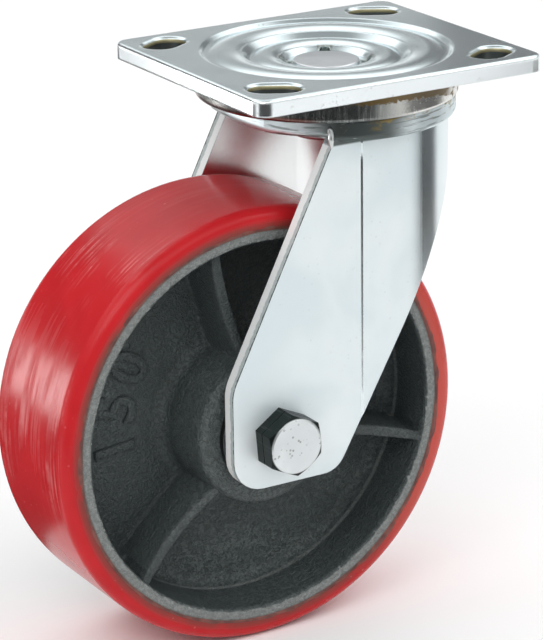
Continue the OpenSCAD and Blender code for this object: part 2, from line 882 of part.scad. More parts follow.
// Iron wheel core: hub, web, ribs and rim in one casting
module wheel_core() {
    color([0.17, 0.19, 0.19])
        at_axle()
            for (side = [0, 1])
                mirror([0, 0, side]) {
                    rotate_extrude()
                        core_section();
                    for (i = [0:rib_count - 1])
                        rotate([0, 0, rib_angle + 360 * i / rib_count])
                            rib();
                }
}

// Section of the tread: a flat band whose two outer edges are round
module tread_section() {
    half = tread_w / 2;
    low = rim_r + fixed_gap;
    high = wheel_r - tread_edge_r;
    flat = half - tread_edge_r;
    intersection() {
        translate([low, -half])
            square([wheel_r - low, tread_w]);
        union() {
            translate([low - tread_edge_r, -half])
                square([high - low + tread_edge_r, tread_w]);
            translate([low, -flat])
                square([wheel_r - low, 2 * flat]);
            for (side = [-1, 1])
                translate([high, side * flat])
                    circle(r = tread_edge_r);
        }
    }
}

// Cast tread bonded around the rim
module tread() {
    color("firebrick")
        at_axle()
            rotate_extrude()
                tread_section();
}

top_plate();
race_ring();
kingpin();
lower_cup();
upper_balls();
lower_balls();
fork();
axle_bolt();
axle_nut();
flat_washer();
spring_washer();
axle_sleeve();
near_thrust_washer();
far_thrust_washer();
roller_cage();
rollers();
wheel_core();
tread();
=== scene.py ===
"""Looks of a heavy swivel castor: finishes for its solids, small added pieces, studio light and camera."""

from __future__ import annotations

import json
import logging
import math
from dataclasses import dataclass, field
from enum import Enum
from functools import reduce

import bpy
from mathutils import Matrix, Vector


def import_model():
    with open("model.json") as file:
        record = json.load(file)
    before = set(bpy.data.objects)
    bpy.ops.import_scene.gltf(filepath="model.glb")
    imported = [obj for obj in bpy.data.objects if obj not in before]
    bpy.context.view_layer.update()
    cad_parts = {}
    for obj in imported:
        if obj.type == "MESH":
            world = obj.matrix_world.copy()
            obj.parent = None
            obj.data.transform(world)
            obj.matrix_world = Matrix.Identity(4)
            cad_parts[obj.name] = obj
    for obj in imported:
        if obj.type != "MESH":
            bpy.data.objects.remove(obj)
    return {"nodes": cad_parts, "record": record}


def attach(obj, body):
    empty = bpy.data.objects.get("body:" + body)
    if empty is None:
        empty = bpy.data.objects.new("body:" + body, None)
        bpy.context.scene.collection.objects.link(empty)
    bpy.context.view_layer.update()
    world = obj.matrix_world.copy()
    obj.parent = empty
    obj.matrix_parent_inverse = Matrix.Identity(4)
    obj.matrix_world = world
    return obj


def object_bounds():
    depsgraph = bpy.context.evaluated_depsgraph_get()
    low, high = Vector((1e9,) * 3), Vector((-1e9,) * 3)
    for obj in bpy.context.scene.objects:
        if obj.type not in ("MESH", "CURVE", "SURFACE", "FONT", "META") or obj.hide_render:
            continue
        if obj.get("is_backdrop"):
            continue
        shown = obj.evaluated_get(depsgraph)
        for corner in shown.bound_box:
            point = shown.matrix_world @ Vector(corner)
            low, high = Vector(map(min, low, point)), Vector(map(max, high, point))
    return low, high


LOG = logging.getLogger("castor")
MM = 0.001
Colour = tuple[float, float, float]
Place = tuple[float, float, float]
Socket = bpy.types.NodeSocket
Input = float | tuple[float, ...] | Socket
Coat = tuple[Socket, Socket]
Surface = dict[str, Input]


class Body(Enum):
    """CAD bodies that the added pieces ride on."""

    PLATE = "plate"
    FORK = "fork"
    WHEEL = "wheel"


class Side(Enum):
    """Side of the wheel along Y."""

    NEAR = -1
    FAR = 1


@dataclass(frozen=True)
class Layout:
    """Places and sizes that finishes and added pieces share, in metres."""

    axle_x: float = -40.7 * MM
    axle_z: float = -119.9 * MM
    rim_r: float = 69.7 * MM
    rim_in: float = 65.3 * MM
    rim_face: float = 24.7 * MM
    tread_half: float = 25.0 * MM
    web_face: float = 4.0 * MM
    plate_x: float = 55.25 * MM
    plate_y: float = 48.75 * MM
    plate_under: float = -5.6 * MM
    ring_r: float = 45.0 * MM
    leg_top: float = -22.6 * MM
    leg_outer: float = 35.5 * MM
    leg_inner: float = 30.0 * MM
    press_x: tuple[float, float] = (-10.6 * MM, -7.0 * MM)
    crease_x: tuple[float, float] = (-8.95 * MM, -8.6 * MM)
    crease_z: tuple[float, float] = (-109.0 * MM, -28.5 * MM)
    crease_fade: float = 2.5 * MM
    head_face: float = 45.5 * MM
    bolt_r: float = 6.35 * MM
    nut_end: float = 50.5 * MM


@dataclass(frozen=True)
class Stains:
    """Colours of the stains and marks on the zinc."""

    speck: Colour = (0.2, 0.2, 0.19)
    olive: Colour = (0.3, 0.26, 0.12)
    # Painted shade deep in the plate's slots.
    slot_dark: Colour = (0.045, 0.055, 0.05)
    # Painted shade in the staked recesses round the kingpin.
    notch: Colour = (0.12, 0.12, 0.07)
    cut_edge: Colour = (0.9, 0.92, 0.93)
    crumb: Colour = (0.4, 0.4, 0.39)
    # Dark coat on the race ring: partly grease, partly painted shade and dark reflection.
    film: Colour = (0.06, 0.072, 0.069)
    tool_mark: Colour = (0.2, 0.21, 0.21)
    # Painted reflection of the red tread on the race ring's lower edge.
    red_foot: Colour = (0.17, 0.06, 0.045)
    grease: Colour = (0.15, 0.1, 0.035)
    # Dark smear on the crown: partly grease, partly painted dark reflection.
    smear: Colour = (0.055, 0.069, 0.064)
    crown_line: Colour = (0.13, 0.15, 0.14)
    yellow: Colour = (0.36, 0.25, 0.06)
    sheared: Colour = (0.95, 0.96, 0.95)
    torn: Colour = (0.42, 0.49, 0.49)
    nick: Colour = (0.05, 0.055, 0.055)
    # Painted shade along the legs' pressed crease.
    crease: Colour = (0.07, 0.075, 0.075)
    # Painted reflection brightening the fork legs' inner walls.
    inner_wall: Colour = (0.97, 0.98, 0.98)
    # Painted shade on the bolt head's sides.
    flat: Colour = (0.02, 0.027, 0.026)
    flat_scratch: Colour = (0.075, 0.085, 0.083)
    pit: Colour = (0.2, 0.19, 0.18)


PLACE = Layout()
STAIN = Stains()


class Graph:
    """A node tree with short calls for the nodes that the finishes use."""

    def __init__(self, tree: bpy.types.NodeTree) -> None:
        """Keeps the tree and its nodes."""
        self.tree = tree
        self.nodes = tree.nodes

    def node(self, kind: str, **settings: object) -> bpy.types.Node:
        """Adds a node and sets its properties.

        Args:
            kind: Blender's name of the node type.
            settings: Properties of the node.

        Returns:
            The new node.
        """
        made = self.nodes.new(kind)
        for key, value in settings.items():
            setattr(made, key, value)
        return made

    def put(self, socket: Socket, value: Input) -> None:
        """Links a socket to another one, or gives it a plain value.

        Args:
            socket: Input to fill.
            value: Socket, number or colour.
        """
        if isinstance(value, bpy.types.NodeSocket):
            self.tree.links.new(value, socket)
        elif isinstance(value, tuple) and len(value) == 3 and socket.type == "RGBA":
            socket.default_value = (*value, 1.0)
        else:
            socket.default_value = value

    def fill(self, node: bpy.types.Node, **values: Input) -> None:
        """Fills a node's inputs by name, with spaces as underscores.

        Args:
            node: The node.
            values: Its inputs by name.
        """
        for key, value in values.items():
            self.put(node.inputs[key.replace("_", " ")], value)

    def math(self, operation: str, a: Input, b: Input = 0.0) -> Socket:
        """Adds a Math node.

        Args:
            operation: Blender's name of the operation.
            a: First value.
            b: Second value.

        Returns:
            The result.
        """
        made = self.node("ShaderNodeMath", operation=operation)
        self.put(made.inputs[0], a)
        self.put(made.inputs[1], b)
        return made.outputs[0]

    def times(self, *values: Input) -> Input:
        """Product of the values."""
        return reduce(lambda a, b: self.math("MULTIPLY", a, b), values)

    def plus(self, *values: Input) -> Input:
        """Sum of the values."""
        return reduce(lambda a, b: self.math("ADD", a, b), values)

    def most(self, *values: Input) -> Input:
        """Largest of the values."""
        return reduce(lambda a, b: self.math("MAXIMUM", a, b), values)

    def rest(self, mask: Input) -> Socket:
        """What a mask leaves out."""
        return self.math("SUBTRACT", 1.0, mask)

    def size(self, value: Input) -> Socket:
        """A value without its sign."""
        return self.math("ABSOLUTE", value)

    def step(self, value: Input, low: float, high: float, start: float = 0.0, end: float = 1.0) -> Socket:
        """Adds a smooth step from low to high.

        Args:
            value: Value to map.
            low: Value that gives start.
            high: Value that gives end.
            start: Result at low.
            end: Result at high.

        Returns:
            The mapped value.
        """
        made = self.node("ShaderNodeMapRange", interpolation_type="SMOOTHSTEP")
        for socket, number in zip(made.inputs, (value, low, high, start, end)):
            self.put(socket, number)
        return made.outputs[0]

    def band(self, value: Input, low: float, high: float, soft: float) -> Input:
        """Mask that is 1 between low and high and fades over soft.

        Args:
            value: Value to test.
            low: Lower limit.
            high: Upper limit.
            soft: Width of the fade.

        Returns:
            The mask.
        """
        rise = self.step(value, low - soft, low + soft)
        return self.times(rise, self.step(value, high - soft, high + soft, 1.0, 0.0))

    def mix(self, factor: Input, a: Input, b: Input) -> Socket:
        """Mixes two colours.

        Args:
            factor: Share of b.
            a: First colour.
            b: Second colour.

        Returns:
            The mixed colour.
        """
        made = self.node("ShaderNodeMix", data_type="RGBA", clamp_factor=True)
        for index, value in ((0, factor), (6, a), (7, b)):
            self.put(made.inputs[index], value)
        return made.outputs[2]

    def tint(self, colour: Input, tone: Input, *masks: Input) -> Socket:
        """Lays a tone over a colour where all the masks are up.

        Args:
            colour: Colour so far.
            tone: Colour to lay over it.
            masks: Masks and strengths, which are multiplied.

        Returns:
            The tinted colour.
        """
        return self.mix(self.times(*masks), colour, tone)

    def coordinates(self, scale: Place = (1, 1, 1), shift: Place = (0, 0, 0)) -> Socket:
        """Object coordinates, moved and stretched.

        Args:
            scale: Stretch along each axis.
            shift: Move along each axis, after the stretch.

        Returns:
            The coordinates.
        """
        mapping = self.node("ShaderNodeMapping")
        found = self.node("ShaderNodeTexCoord").outputs["Object"]
        self.fill(mapping, Vector=found, Scale=scale, Location=shift)
        return mapping.outputs[0]

    def axes(self, vector: Socket | None = None) -> tuple[Socket, Socket, Socket]:
        """X, Y and Z of a vector, or of the Object coordinates."""
        made = self.node("ShaderNodeSeparateXYZ")
        self.put(made.inputs[0], self.coordinates() if vector is None else vector)
        return made.outputs[0], made.outputs[1], made.outputs[2]

    def normal_axes(self) -> tuple[Socket, Socket, Socket]:
        """X, Y and Z of the surface's direction in the part's own frame."""
        made = self.node("ShaderNodeVectorTransform", vector_type="NORMAL", convert_from="WORLD", convert_to="OBJECT")
        self.put(made.inputs[0], self.node("ShaderNodeNewGeometry").outputs["Normal"])
        return self.axes(made.outputs[0])

    def noise(
        self, scale: Input, detail: float = 3.0, rough: float = 0.5, warp: float = 0.0, at: Socket | None = None
    ) -> Socket:
        """Adds a Noise Texture node.

        Args:
            scale: Frequency of the noise per metre.
            detail: Number of finer layers.
            rough: Share of each finer layer.
            warp: Distortion of the coordinates.
            at: Coordinates, if they aren't the plain ones.

        Returns:
            The noise, from about 0 to 1.
        """
        made = self.node("ShaderNodeTexNoise")
        vector = self.coordinates() if at is None else at
        self.fill(made, Vector=vector, Scale=scale, Detail=detail, Roughness=rough, Distortion=warp)
        return made.outputs[0]

    def bump(self, height: Socket, strength: float, distance: float, normal: Socket | None = None) -> Socket:
        """Adds a Bump node.

        Args:
            height: Height from 0 to 1.
            strength: Strength of the effect.
            distance: Height in metres that 1 stands for.
            normal: Normal to start from.

        Returns:
            The bumped normal.
        """
        made = self.node("ShaderNodeBump")
        self.fill(made, Strength=strength, Distance=distance, Height=height)
        if normal is not None:
            self.put(made.inputs["Normal"], normal)
        return made.outputs[0]

    def use(self, group: bpy.types.NodeTree, **values: Input) -> dict[str, Socket]:
        """Places a shared group.

        Args:
            group: The group's node tree.
            values: Its inputs by name, with spaces as underscores.

        Returns:
            Its outputs by name.
        """
        made = self.node("ShaderNodeGroup", node_tree=group)
        self.fill(made, **values)
        return {socket.name: socket for socket in made.outputs}


class SharedEffects:
    """Shader node groups that several finishes use, each built once."""

    def __init__(self) -> None:
        """Builds the groups."""
        self.axle = self._axle_place()
        self.king = self._king_place()
        self.grain = self._grain()
        self.specks = self._specks()
        self.edges = self._edges()
        self.streaks = self._streaks()

    @staticmethod
    def _start(
        name: str, inputs: tuple[str, ...], outputs: tuple[str, ...]
    ) -> tuple[Graph, dict[str, Socket], dict[str, Socket]]:
        """Starts a group whose sockets are numbers, apart from one that is called Normal.

        Args:
            name: Name of the group.
            inputs: Names of its inputs.
            outputs: Names of its outputs.

        Returns:
            The graph, its inputs by name and its outputs by name.
        """
        tree = bpy.data.node_groups.new(name, "ShaderNodeTree")
        for way, keys in (("INPUT", inputs), ("OUTPUT", outputs)):
            for key in keys:
                kind = "NodeSocketVector" if key == "Normal" else "NodeSocketFloat"
                tree.interface.new_socket(name=key, in_out=way, socket_type=kind)
        graph = Graph(tree)
        given, asked = graph.node("NodeGroupInput").outputs, graph.node("NodeGroupOutput").inputs
        return graph, {socket.name: socket for socket in given}, {socket.name: socket for socket in asked}

    def _axle_place(self) -> bpy.types.NodeTree:
        """Distance from the axle and the middle plane, and degrees from the rear upwards."""
        graph, _, out = self._start("axle_place", (), ("Radius", "Side", "Turn"))
        x, y, z = graph.axes(graph.coordinates(shift=(-PLACE.axle_x, 0.0, -PLACE.axle_z)))
        turn = graph.math("ARCTAN2", z, graph.times(x, -1.0))
        graph.put(out["Radius"], graph.math("SQRT", graph.plus(graph.times(x, x), graph.times(z, z))))
        graph.put(out["Side"], graph.size(y))
        graph.put(out["Turn"], graph.math("DEGREES", turn))
        return graph.tree

    def _king_place(self) -> bpy.types.NodeTree:
        """Distance from the kingpin axis, height, and degrees from the near side towards the front."""
        graph, _, out = self._start("king_place", (), ("Radius", "Turn", "Height"))
        x, y, z = graph.axes()
        turn = graph.math("ARCTAN2", x, graph.times(y, -1.0))
        graph.put(out["Radius"], graph.math("SQRT", graph.plus(graph.times(x, x), graph.times(y, y))))
        graph.put(out["Turn"], graph.math("DEGREES", turn))
        graph.put(out["Height"], z)
        return graph.tree

    def _grain(self) -> bpy.types.NodeTree:
        """Two scales of noise in one value, with soft clouds beside it."""
        graph, given, out = self._start("metal_grain", ("Fine Scale", "Cloud Scale"), ("Fine", "Clouds"))
        coarse = graph.noise(given["Fine Scale"], 5.0, 0.65)
        finer = graph.noise(graph.times(given["Fine Scale"], 3.7), 2.0)
        clouds = graph.noise(given["Cloud Scale"], 3.0, 0.55, 0.4)
        graph.put(out["Fine"], graph.plus(graph.times(coarse, 0.65), graph.times(finer, 0.35)))
        graph.put(out["Clouds"], graph.step(clouds, 0.32, 0.68))
        return graph.tree

    def _specks(self) -> bpy.types.NodeTree:
        """Scattered small specks as a mask."""
        graph, given, out = self._start("small_specks", ("Scale", "Reach"), ("Mask",))
        points = graph.node("ShaderNodeTexVoronoi")
        graph.fill(points, Vector=graph.coordinates(), Scale=given["Scale"])
        near = graph.math("LESS_THAN", points.outputs["Distance"], given["Reach"])
        patch = graph.step(graph.noise(graph.times(given["Scale"], 0.22), 2.0), 0.5, 0.62)
        graph.put(out["Mask"], graph.times(near, patch))
        return graph.tree

    def _edges(self) -> bpy.types.NodeTree:
        """Rounded normal at sharp edges and a mask of those edges."""
        graph, given, out = self._start("soft_edges", ("Radius",), ("Normal", "Edge"))
        round_over = graph.node("ShaderNodeBevel", samples=6)
        graph.put(round_over.inputs["Radius"], given["Radius"])
        dot = graph.node("ShaderNodeVectorMath", operation="DOT_PRODUCT")
        graph.put(dot.inputs[0], round_over.outputs[0])
        graph.put(dot.inputs[1], graph.node("ShaderNodeNewGeometry").outputs["Normal"])
        graph.put(out["Normal"], round_over.outputs[0])
        graph.put(out["Edge"], graph.step(dot.outputs["Value"], 0.999, 0.9))
        return graph.tree

    def _streaks(self) -> bpy.types.NodeTree:
        """Fine streaks that run round the wheel."""
        graph, given, out = self._start("round_streaks", ("Scale",), ("Streaks",))
        long = 0.03
        stretched = graph.coordinates((long, 1.0, long), (-long * PLACE.axle_x, 0.0, -long * PLACE.axle_z))
        graph.put(out["Streaks"], graph.step(graph.noise(given["Scale"], 4.0, 0.6, at=stretched), 0.3, 0.7))
        return graph.tree


class Finish:
    """Base of a finish: a material with a Principled BSDF."""

    name: str

    def material(self, effects: SharedEffects) -> bpy.types.Material:
        """Builds the material.

        Args:
            effects: Shared node groups.

        Returns:
            The material.
        """
        material = bpy.data.materials.new("finish_" + self.name)
        material.use_nodes = True
        graph = Graph(material.node_tree)
        graph.fill(graph.nodes["Principled BSDF"], **self._surface(graph, effects))
        return material

    def _surface(self, graph: Graph, effects: SharedEffects) -> Surface:
        """Builds the nodes of the finish.

        Args:
            graph: The material's graph.
            effects: Shared node groups.

        Returns:
            What the shader's inputs take, by name.
        """
        raise NotImplementedError


class ZincPlace(Enum):
    """Where a zinc finish is used, which decides its stains."""

    PLAIN = "plain"
    PLATE = "plate"
    RING = "ring"
    FORK = "fork"
    BOLT = "bolt"
    PIN = "pin"


@dataclass(frozen=True)
class Zinc(Finish):
    """Zinc plating on pressed or forged steel."""

    name: str
    bright: Colour
    dull: Colour
    roughness: float
    spread: float
    fine_scale: float = 900.0
    cloud_scale: float = 45.0
    grain_depth: float = 0.02 * MM
    edge_radius: float = 0.5 * MM
    dirt: float = 0.3
    place: ZincPlace = ZincPlace.PLAIN

    def _surface(self, graph: Graph, effects: SharedEffects) -> Surface:
        """Builds the plating with the stains of its place."""
        grain = graph.use(effects.grain, Fine_Scale=self.fine_scale, Cloud_Scale=self.cloud_scale)
        edges = graph.use(effects.edges, Radius=self.edge_radius)
        specks = graph.use(effects.specks, Scale=420.0, Reach=0.16)
        colour = graph.mix(grain["Clouds"], self.dull, self.bright)
        colour = graph.tint(colour, STAIN.speck, specks["Mask"], self.dirt)
        rough = graph.plus(graph.times(grain["Fine"], self.spread), self.roughness - self.spread / 2)
        colour, rough = self._stain(graph, effects, colour, rough)
        normal = graph.bump(grain["Fine"], 0.35, self.grain_depth, self._level_step(graph, edges["Normal"]))
        return {"Base Color": colour, "Roughness": rough, "Metallic": self._metal(graph), "Normal": normal}

    def _metal(self, graph: Graph) -> Input:
        """Share of bare metal, which is smaller on the matt faces and sheared edges of the fork's legs."""
        if self.place is not ZincPlace.FORK:
            return 1.0
        outward = self._outward(graph)
        level = graph.times(self._press_step(graph), graph.step(outward, 0.5, 0.8), 0.5)
        flat = graph.step(outward, 0.982, 0.998, 0.0, 0.5)
        return graph.rest(graph.most(flat, level, graph.times(self._sheared(graph), 0.85)))

    @staticmethod
    def _outward(graph: Graph) -> Input:
        """How far a face of the legs looks away from the wheel, from -1 to 1."""
        return graph.times(graph.math("SIGN", graph.axes()[1]), graph.normal_axes()[1])

    @staticmethod
    def _sheared(graph: Graph) -> Input:
        """Mask of the legs' sheared rear edges."""
        across, facing, _ = graph.normal_axes()
        below = graph.step(graph.axes()[2], PLACE.leg_top, PLACE.leg_top - 1.4 * MM)
        return graph.times(graph.step(across, -0.55, -0.8), below, graph.step(graph.size(facing), 0.5, 0.3))

    @staticmethod
    def _press_step(graph: Graph) -> Input:
        """Mask of the legs' faint press step that is shaded level: all of it inside, its ends outside."""
        x, y, z = graph.axes()
        wide = graph.size(y)
        inner = graph.step(wide, PLACE.leg_inner + 1.6 * MM, PLACE.leg_inner + 1.2 * MM)
        ends = graph.rest(graph.band(z, PLACE.crease_z[0], PLACE.crease_z[1] + 1.0 * MM, PLACE.crease_fade))
        outer = graph.times(graph.step(wide, PLACE.leg_outer - 1.6 * MM, PLACE.leg_outer - 1.2 * MM), ends)
        pressed = graph.times(graph.band(x, *PLACE.press_x, 0.5 * MM), graph.step(z, -23.0 * MM, -24.0 * MM))
        upright = graph.step(graph.size(graph.normal_axes()[1]), 0.5, 0.8)
        return graph.times(graph.plus(inner, outer), pressed, upright)

    def _level_step(self, graph: Graph, normal: Socket) -> Socket:
        """Shades the faint press step as a level face, inside the legs and at the ends of its crease outside.

        Args:
            graph: The material's graph.
            normal: Normal with soft edges.

        Returns:
            The normal to use.
        """
        if self.place is not ZincPlace.FORK:
            return normal
        level = graph.node("ShaderNodeCombineXYZ")
        graph.put(level.inputs[1], graph.step(graph.normal_axes()[1], -0.01, 0.01, -1.0, 1.01))
        turned = graph.node(
            "ShaderNodeVectorTransform", vector_type="NORMAL", convert_from="OBJECT", convert_to="WORLD")
        graph.put(turned.inputs[0], level.outputs[0])
        blend = graph.node("ShaderNodeMix", data_type="VECTOR")
        for index, value in ((0, self._press_step(graph)), (4, normal), (5, turned.outputs[0])):
            graph.put(blend.inputs[index], value)
        return blend.outputs[1]

    def _stain(self, graph: Graph, effects: SharedEffects, colour: Socket, rough: Socket) -> Coat:
        """Adds the stains of the finish's place.

        Args:
            graph: The material's graph.
            effects: Shared node groups.
            colour: Colour so far.
            rough: Roughness so far.

        Returns:
            Colour and roughness with the stains.
        """
        stains = {
            ZincPlace.PLATE: self._plate_stain,
            ZincPlace.RING: self._ring_stain,
            ZincPlace.FORK: self._fork_stain,
            ZincPlace.BOLT: self._bolt_stain,
            ZincPlace.PIN: self._pin_stain,
        }
        if self.place not in stains:
            return colour, rough
        return stains[self.place](graph, effects, colour, rough)

    def _plate_stain(self, graph: Graph, effects: SharedEffects, colour: Socket, rough: Socket) -> Coat:
        """Olive passivate on the slots' upper walls with painted shade deeper in the slots, painted shade in the
        staked recesses beside the kingpin and pale cut edges.
        """
        x, y, _ = graph.axes()
        king = graph.use(effects.king)
        wall = graph.math("LESS_THAN", graph.size(graph.normal_axes()[2]), 0.75)
        inside = graph.times(
            graph.math("LESS_THAN", graph.size(x), PLACE.plate_x - 2.5 * MM),
            graph.math("LESS_THAN", graph.size(y), PLACE.plate_y - 2.5 * MM))
        past_ring = graph.math("GREATER_THAN", king["Radius"], PLACE.ring_r + 1.0 * MM)
        slot = graph.times(wall, inside, past_ring, graph.step(king["Height"], -0.6 * MM, -1.0 * MM))
        # Slot walls: olive passivate near the top, painted shade deeper down.
        lining = graph.mix(graph.step(king["Height"], -1.8 * MM, -2.1 * MM), STAIN.olive, STAIN.slot_dark)
        colour = graph.tint(colour, lining, slot, 0.9)
        # Painted shade in the staked recesses round the kingpin.
        beside = graph.math("PINGPONG", graph.plus(king["Turn"], 30.0), 45.0)
        around = graph.band(king["Radius"], 11.2 * MM, 16.2 * MM, 0.5 * MM)
        colour = graph.tint(colour, STAIN.notch, around, graph.step(beside, 12.0, 8.0), 0.5)
        border = graph.times(wall, graph.rest(inside))
        crumbs = graph.use(effects.specks, Scale=900.0, Reach=0.26)
        colour = graph.tint(colour, STAIN.cut_edge, border, 0.6)
        colour = graph.tint(colour, STAIN.crumb, border, crumbs["Mask"], 0.6)
        return colour, graph.plus(rough, graph.times(slot, 0.22))

    def _ring_stain(self, graph: Graph, effects: SharedEffects, colour: Socket, rough: Socket) -> Coat:
        """Brown grease under the plate, a dark coat in the middle that is partly grease and partly painted shade and
        dark reflection, a painted reflection of the red tread along its lower edge and fine upright tool marks.
        """
        king = graph.use(effects.king)
        turn, height = king["Turn"], king["Height"]
        marks = graph.noise(1400.0, 2.0, at=graph.coordinates((1.0, 1.0, 0.04)))
        # Middle of the ring darkened: partly grease, partly painted shade and dark reflection.
        film = graph.times(graph.band(turn, -78.0, -2.0, 14.0), graph.step(marks, 0.45, 0.75, 1.0, 0.6))
        colour = graph.tint(colour, STAIN.film, film, 0.92)
        upright = graph.times(graph.step(marks, 0.45, 0.6), graph.band(turn, -45.0, 12.0, 15.0))
        colour = graph.tint(colour, STAIN.tool_mark, upright, 0.3)
        # Painted reflection of the red tread along the ring's lower edge.
        tread_reflection_band = graph.times(graph.step(height, -12.2 * MM, -13.2 * MM), graph.band(turn, -110.0, -38.0, 6.0))
        colour = graph.tint(colour, STAIN.red_foot, tread_reflection_band, 0.7)
        ragged = graph.times(graph.noise(360.0, 5.0, 0.7), 5.0 * MM)
        limit = graph.step(turn, 6.0, 50.0, -9.0 * MM, -13.9 * MM)
        depth = graph.math("SUBTRACT", graph.plus(height, ragged), limit)
        broken = graph.step(graph.noise(300.0, 4.0, 0.6), 0.46, 0.54)
        kept = graph.most(broken, graph.step(turn, 26.0, 40.0, 1.0, 0.0))
        grease = graph.times(graph.step(depth, 2.5 * MM, 2.9 * MM), graph.band(turn, -21.0, 92.0, 6.0), kept)
        colour = graph.tint(colour, STAIN.grease, grease, 0.9)
        return colour, graph.plus(rough, graph.times(grease, 0.2))

    def _fork_stain(self, graph: Graph, effects: SharedEffects, colour: Socket, rough: Socket) -> Coat:
        """Smeared crown rim whose dark smear is partly painted dark reflection, sheared leg edges, painted shade
        along the crease and a painted reflection brightening the inner walls.
        """
        x, y, _ = graph.axes()
        king = graph.use(effects.king)
        turn, height = king["Turn"], king["Height"]
        crown = graph.step(height, PLACE.leg_top - 0.8 * MM, PLACE.leg_top)
        colour = self._crown_stain(graph, turn, height, colour, crown)
        wide = graph.size(y)
        sheared = self._sheared(graph)
        torn = graph.plus(wide, graph.times(graph.noise(700.0, 3.0, 0.6), 1.6 * MM))
        colour = graph.tint(colour, STAIN.sheared, sheared, 0.8)
        colour = graph.tint(colour, STAIN.torn, sheared, graph.step(torn, 33.9 * MM, 34.4 * MM), 0.8)
        colour = graph.tint(colour, STAIN.nick, sheared, graph.step(torn, 35.7 * MM, 35.9 * MM), 0.9)
        # Painted shade along the pressed crease on the legs' outer faces.
        crease = graph.times(
            graph.band(x, *PLACE.crease_x, 0.14 * MM), graph.step(wide, 34.6 * MM, 35.0 * MM),
            graph.band(height, *PLACE.crease_z, PLACE.crease_fade))
        colour = graph.tint(colour, STAIN.crease, crease, graph.step(graph.noise(150.0), 0.3, 0.55, 0.3, 0.8))
        inward = graph.math("LESS_THAN", self._outward(graph), -0.3)
        # Inner walls of the legs painted brighter as a painted reflection.
        colour = graph.tint(colour, STAIN.inner_wall, inward, 0.8)
        flat = graph.times(graph.step(graph.size(graph.normal_axes()[1]), 0.96, 0.995), graph.rest(inward), 0.3)
        rough = graph.most(graph.plus(rough, flat), graph.times(crown, 0.46))
        return colour, graph.plus(rough, graph.times(sheared, 0.1))

    @staticmethod
    def _crown_stain(graph: Graph, turn: Socket, height: Socket, colour: Socket, crown: Socket) -> Socket:
        """Dark smear that is partly grease and partly painted dark reflection, fine lines and yellow grease on the
        crown's rim.

        Args:
            graph: The material's graph.
            turn: Degrees from the near side towards the front.
            height: Height in metres.
            colour: Colour so far.
            crown: Mask of the crown.

        Returns:
            The stained colour.
        """
        # Dark smear on the crown rim: partly grease, partly painted dark reflection.
        smear = graph.noise(95.0, 5.0, 0.6, 0.6, graph.coordinates((1.0, 1.0, 3.0)))
        shade = graph.times(graph.band(turn, -36.0, 6.0, 10.0), graph.step(smear, 0.3, 0.44))
        colour = graph.tint(colour, STAIN.smear, crown, shade, 0.93)
        lines = graph.noise(60.0, 3.0, 0.6, at=graph.coordinates((1.0, 1.0, 14.0)))
        colour = graph.tint(colour, STAIN.crown_line, crown, graph.step(lines, 0.52, 0.62), 0.65)
        drops = graph.noise(110.0, 6.0, 0.7, at=graph.coordinates((1.0, 1.0, 2.5)))
        upper = graph.times(graph.step(height, -19.0 * MM, -18.0 * MM), graph.band(turn, -8.0, 45.0, 10.0))
        return graph.tint(colour, STAIN.yellow, crown, graph.step(drops, 0.5, 0.58), upper, 0.8)

    def _bolt_stain(self, graph: Graph, effects: SharedEffects, colour: Socket, rough: Socket) -> Coat:
        """Painted shade on the head's sides, with lighter scratches, under a bright pitted face."""
        scratch = graph.noise(900.0, 3.0, at=graph.coordinates((1.0, 0.08, 1.0)))
        # Sides of the bolt head painted near black as painted shade, with lighter scratches.
        shaded_flats = graph.mix(graph.step(scratch, 0.55, 0.75), STAIN.flat, STAIN.flat_scratch)
        pits = graph.use(effects.specks, Scale=700.0, Reach=0.3)
        colour = graph.tint(colour, STAIN.pit, pits["Mask"], 0.6)
        side = graph.band(graph.axes()[1], -PLACE.head_face + 0.3 * MM, -PLACE.leg_outer + 0.1 * MM, 0.15 * MM)
        return graph.mix(side, colour, shaded_flats), rough

    def _pin_stain(self, graph: Graph, effects: SharedEffects, colour: Socket, rough: Socket) -> Coat:
        """Faint turned rings on the riveted head."""
        swirl = graph.math("SINE", graph.times(graph.use(effects.king)["Radius"], 9000.0))
        return graph.tint(colour, self.dull, graph.step(swirl, -0.2, 1.0), 0.25), rough


@dataclass(frozen=True)
class DarkSteel(Finish):
    """Oiled or hardened bearing steel."""

    name: str
    tone: Colour
    worn: Colour
    roughness: float

    def _surface(self, graph: Graph, effects: SharedEffects) -> Surface:
        """Builds the steel with brighter edges."""
        grain = graph.use(effects.grain, Fine_Scale=1300.0, Cloud_Scale=90.0)
        edges = graph.use(effects.edges, Radius=0.3 * MM)
        colour = graph.tint(self.tone, self.worn, edges["Edge"], grain["Clouds"])
        rough = graph.plus(graph.times(grain["Fine"], 0.16), self.roughness)
        normal = graph.bump(grain["Fine"], 0.25, 0.02 * MM, edges["Normal"])
        return {"Base Color": colour, "Roughness": rough, "Metallic": 1.0, "Normal": normal}


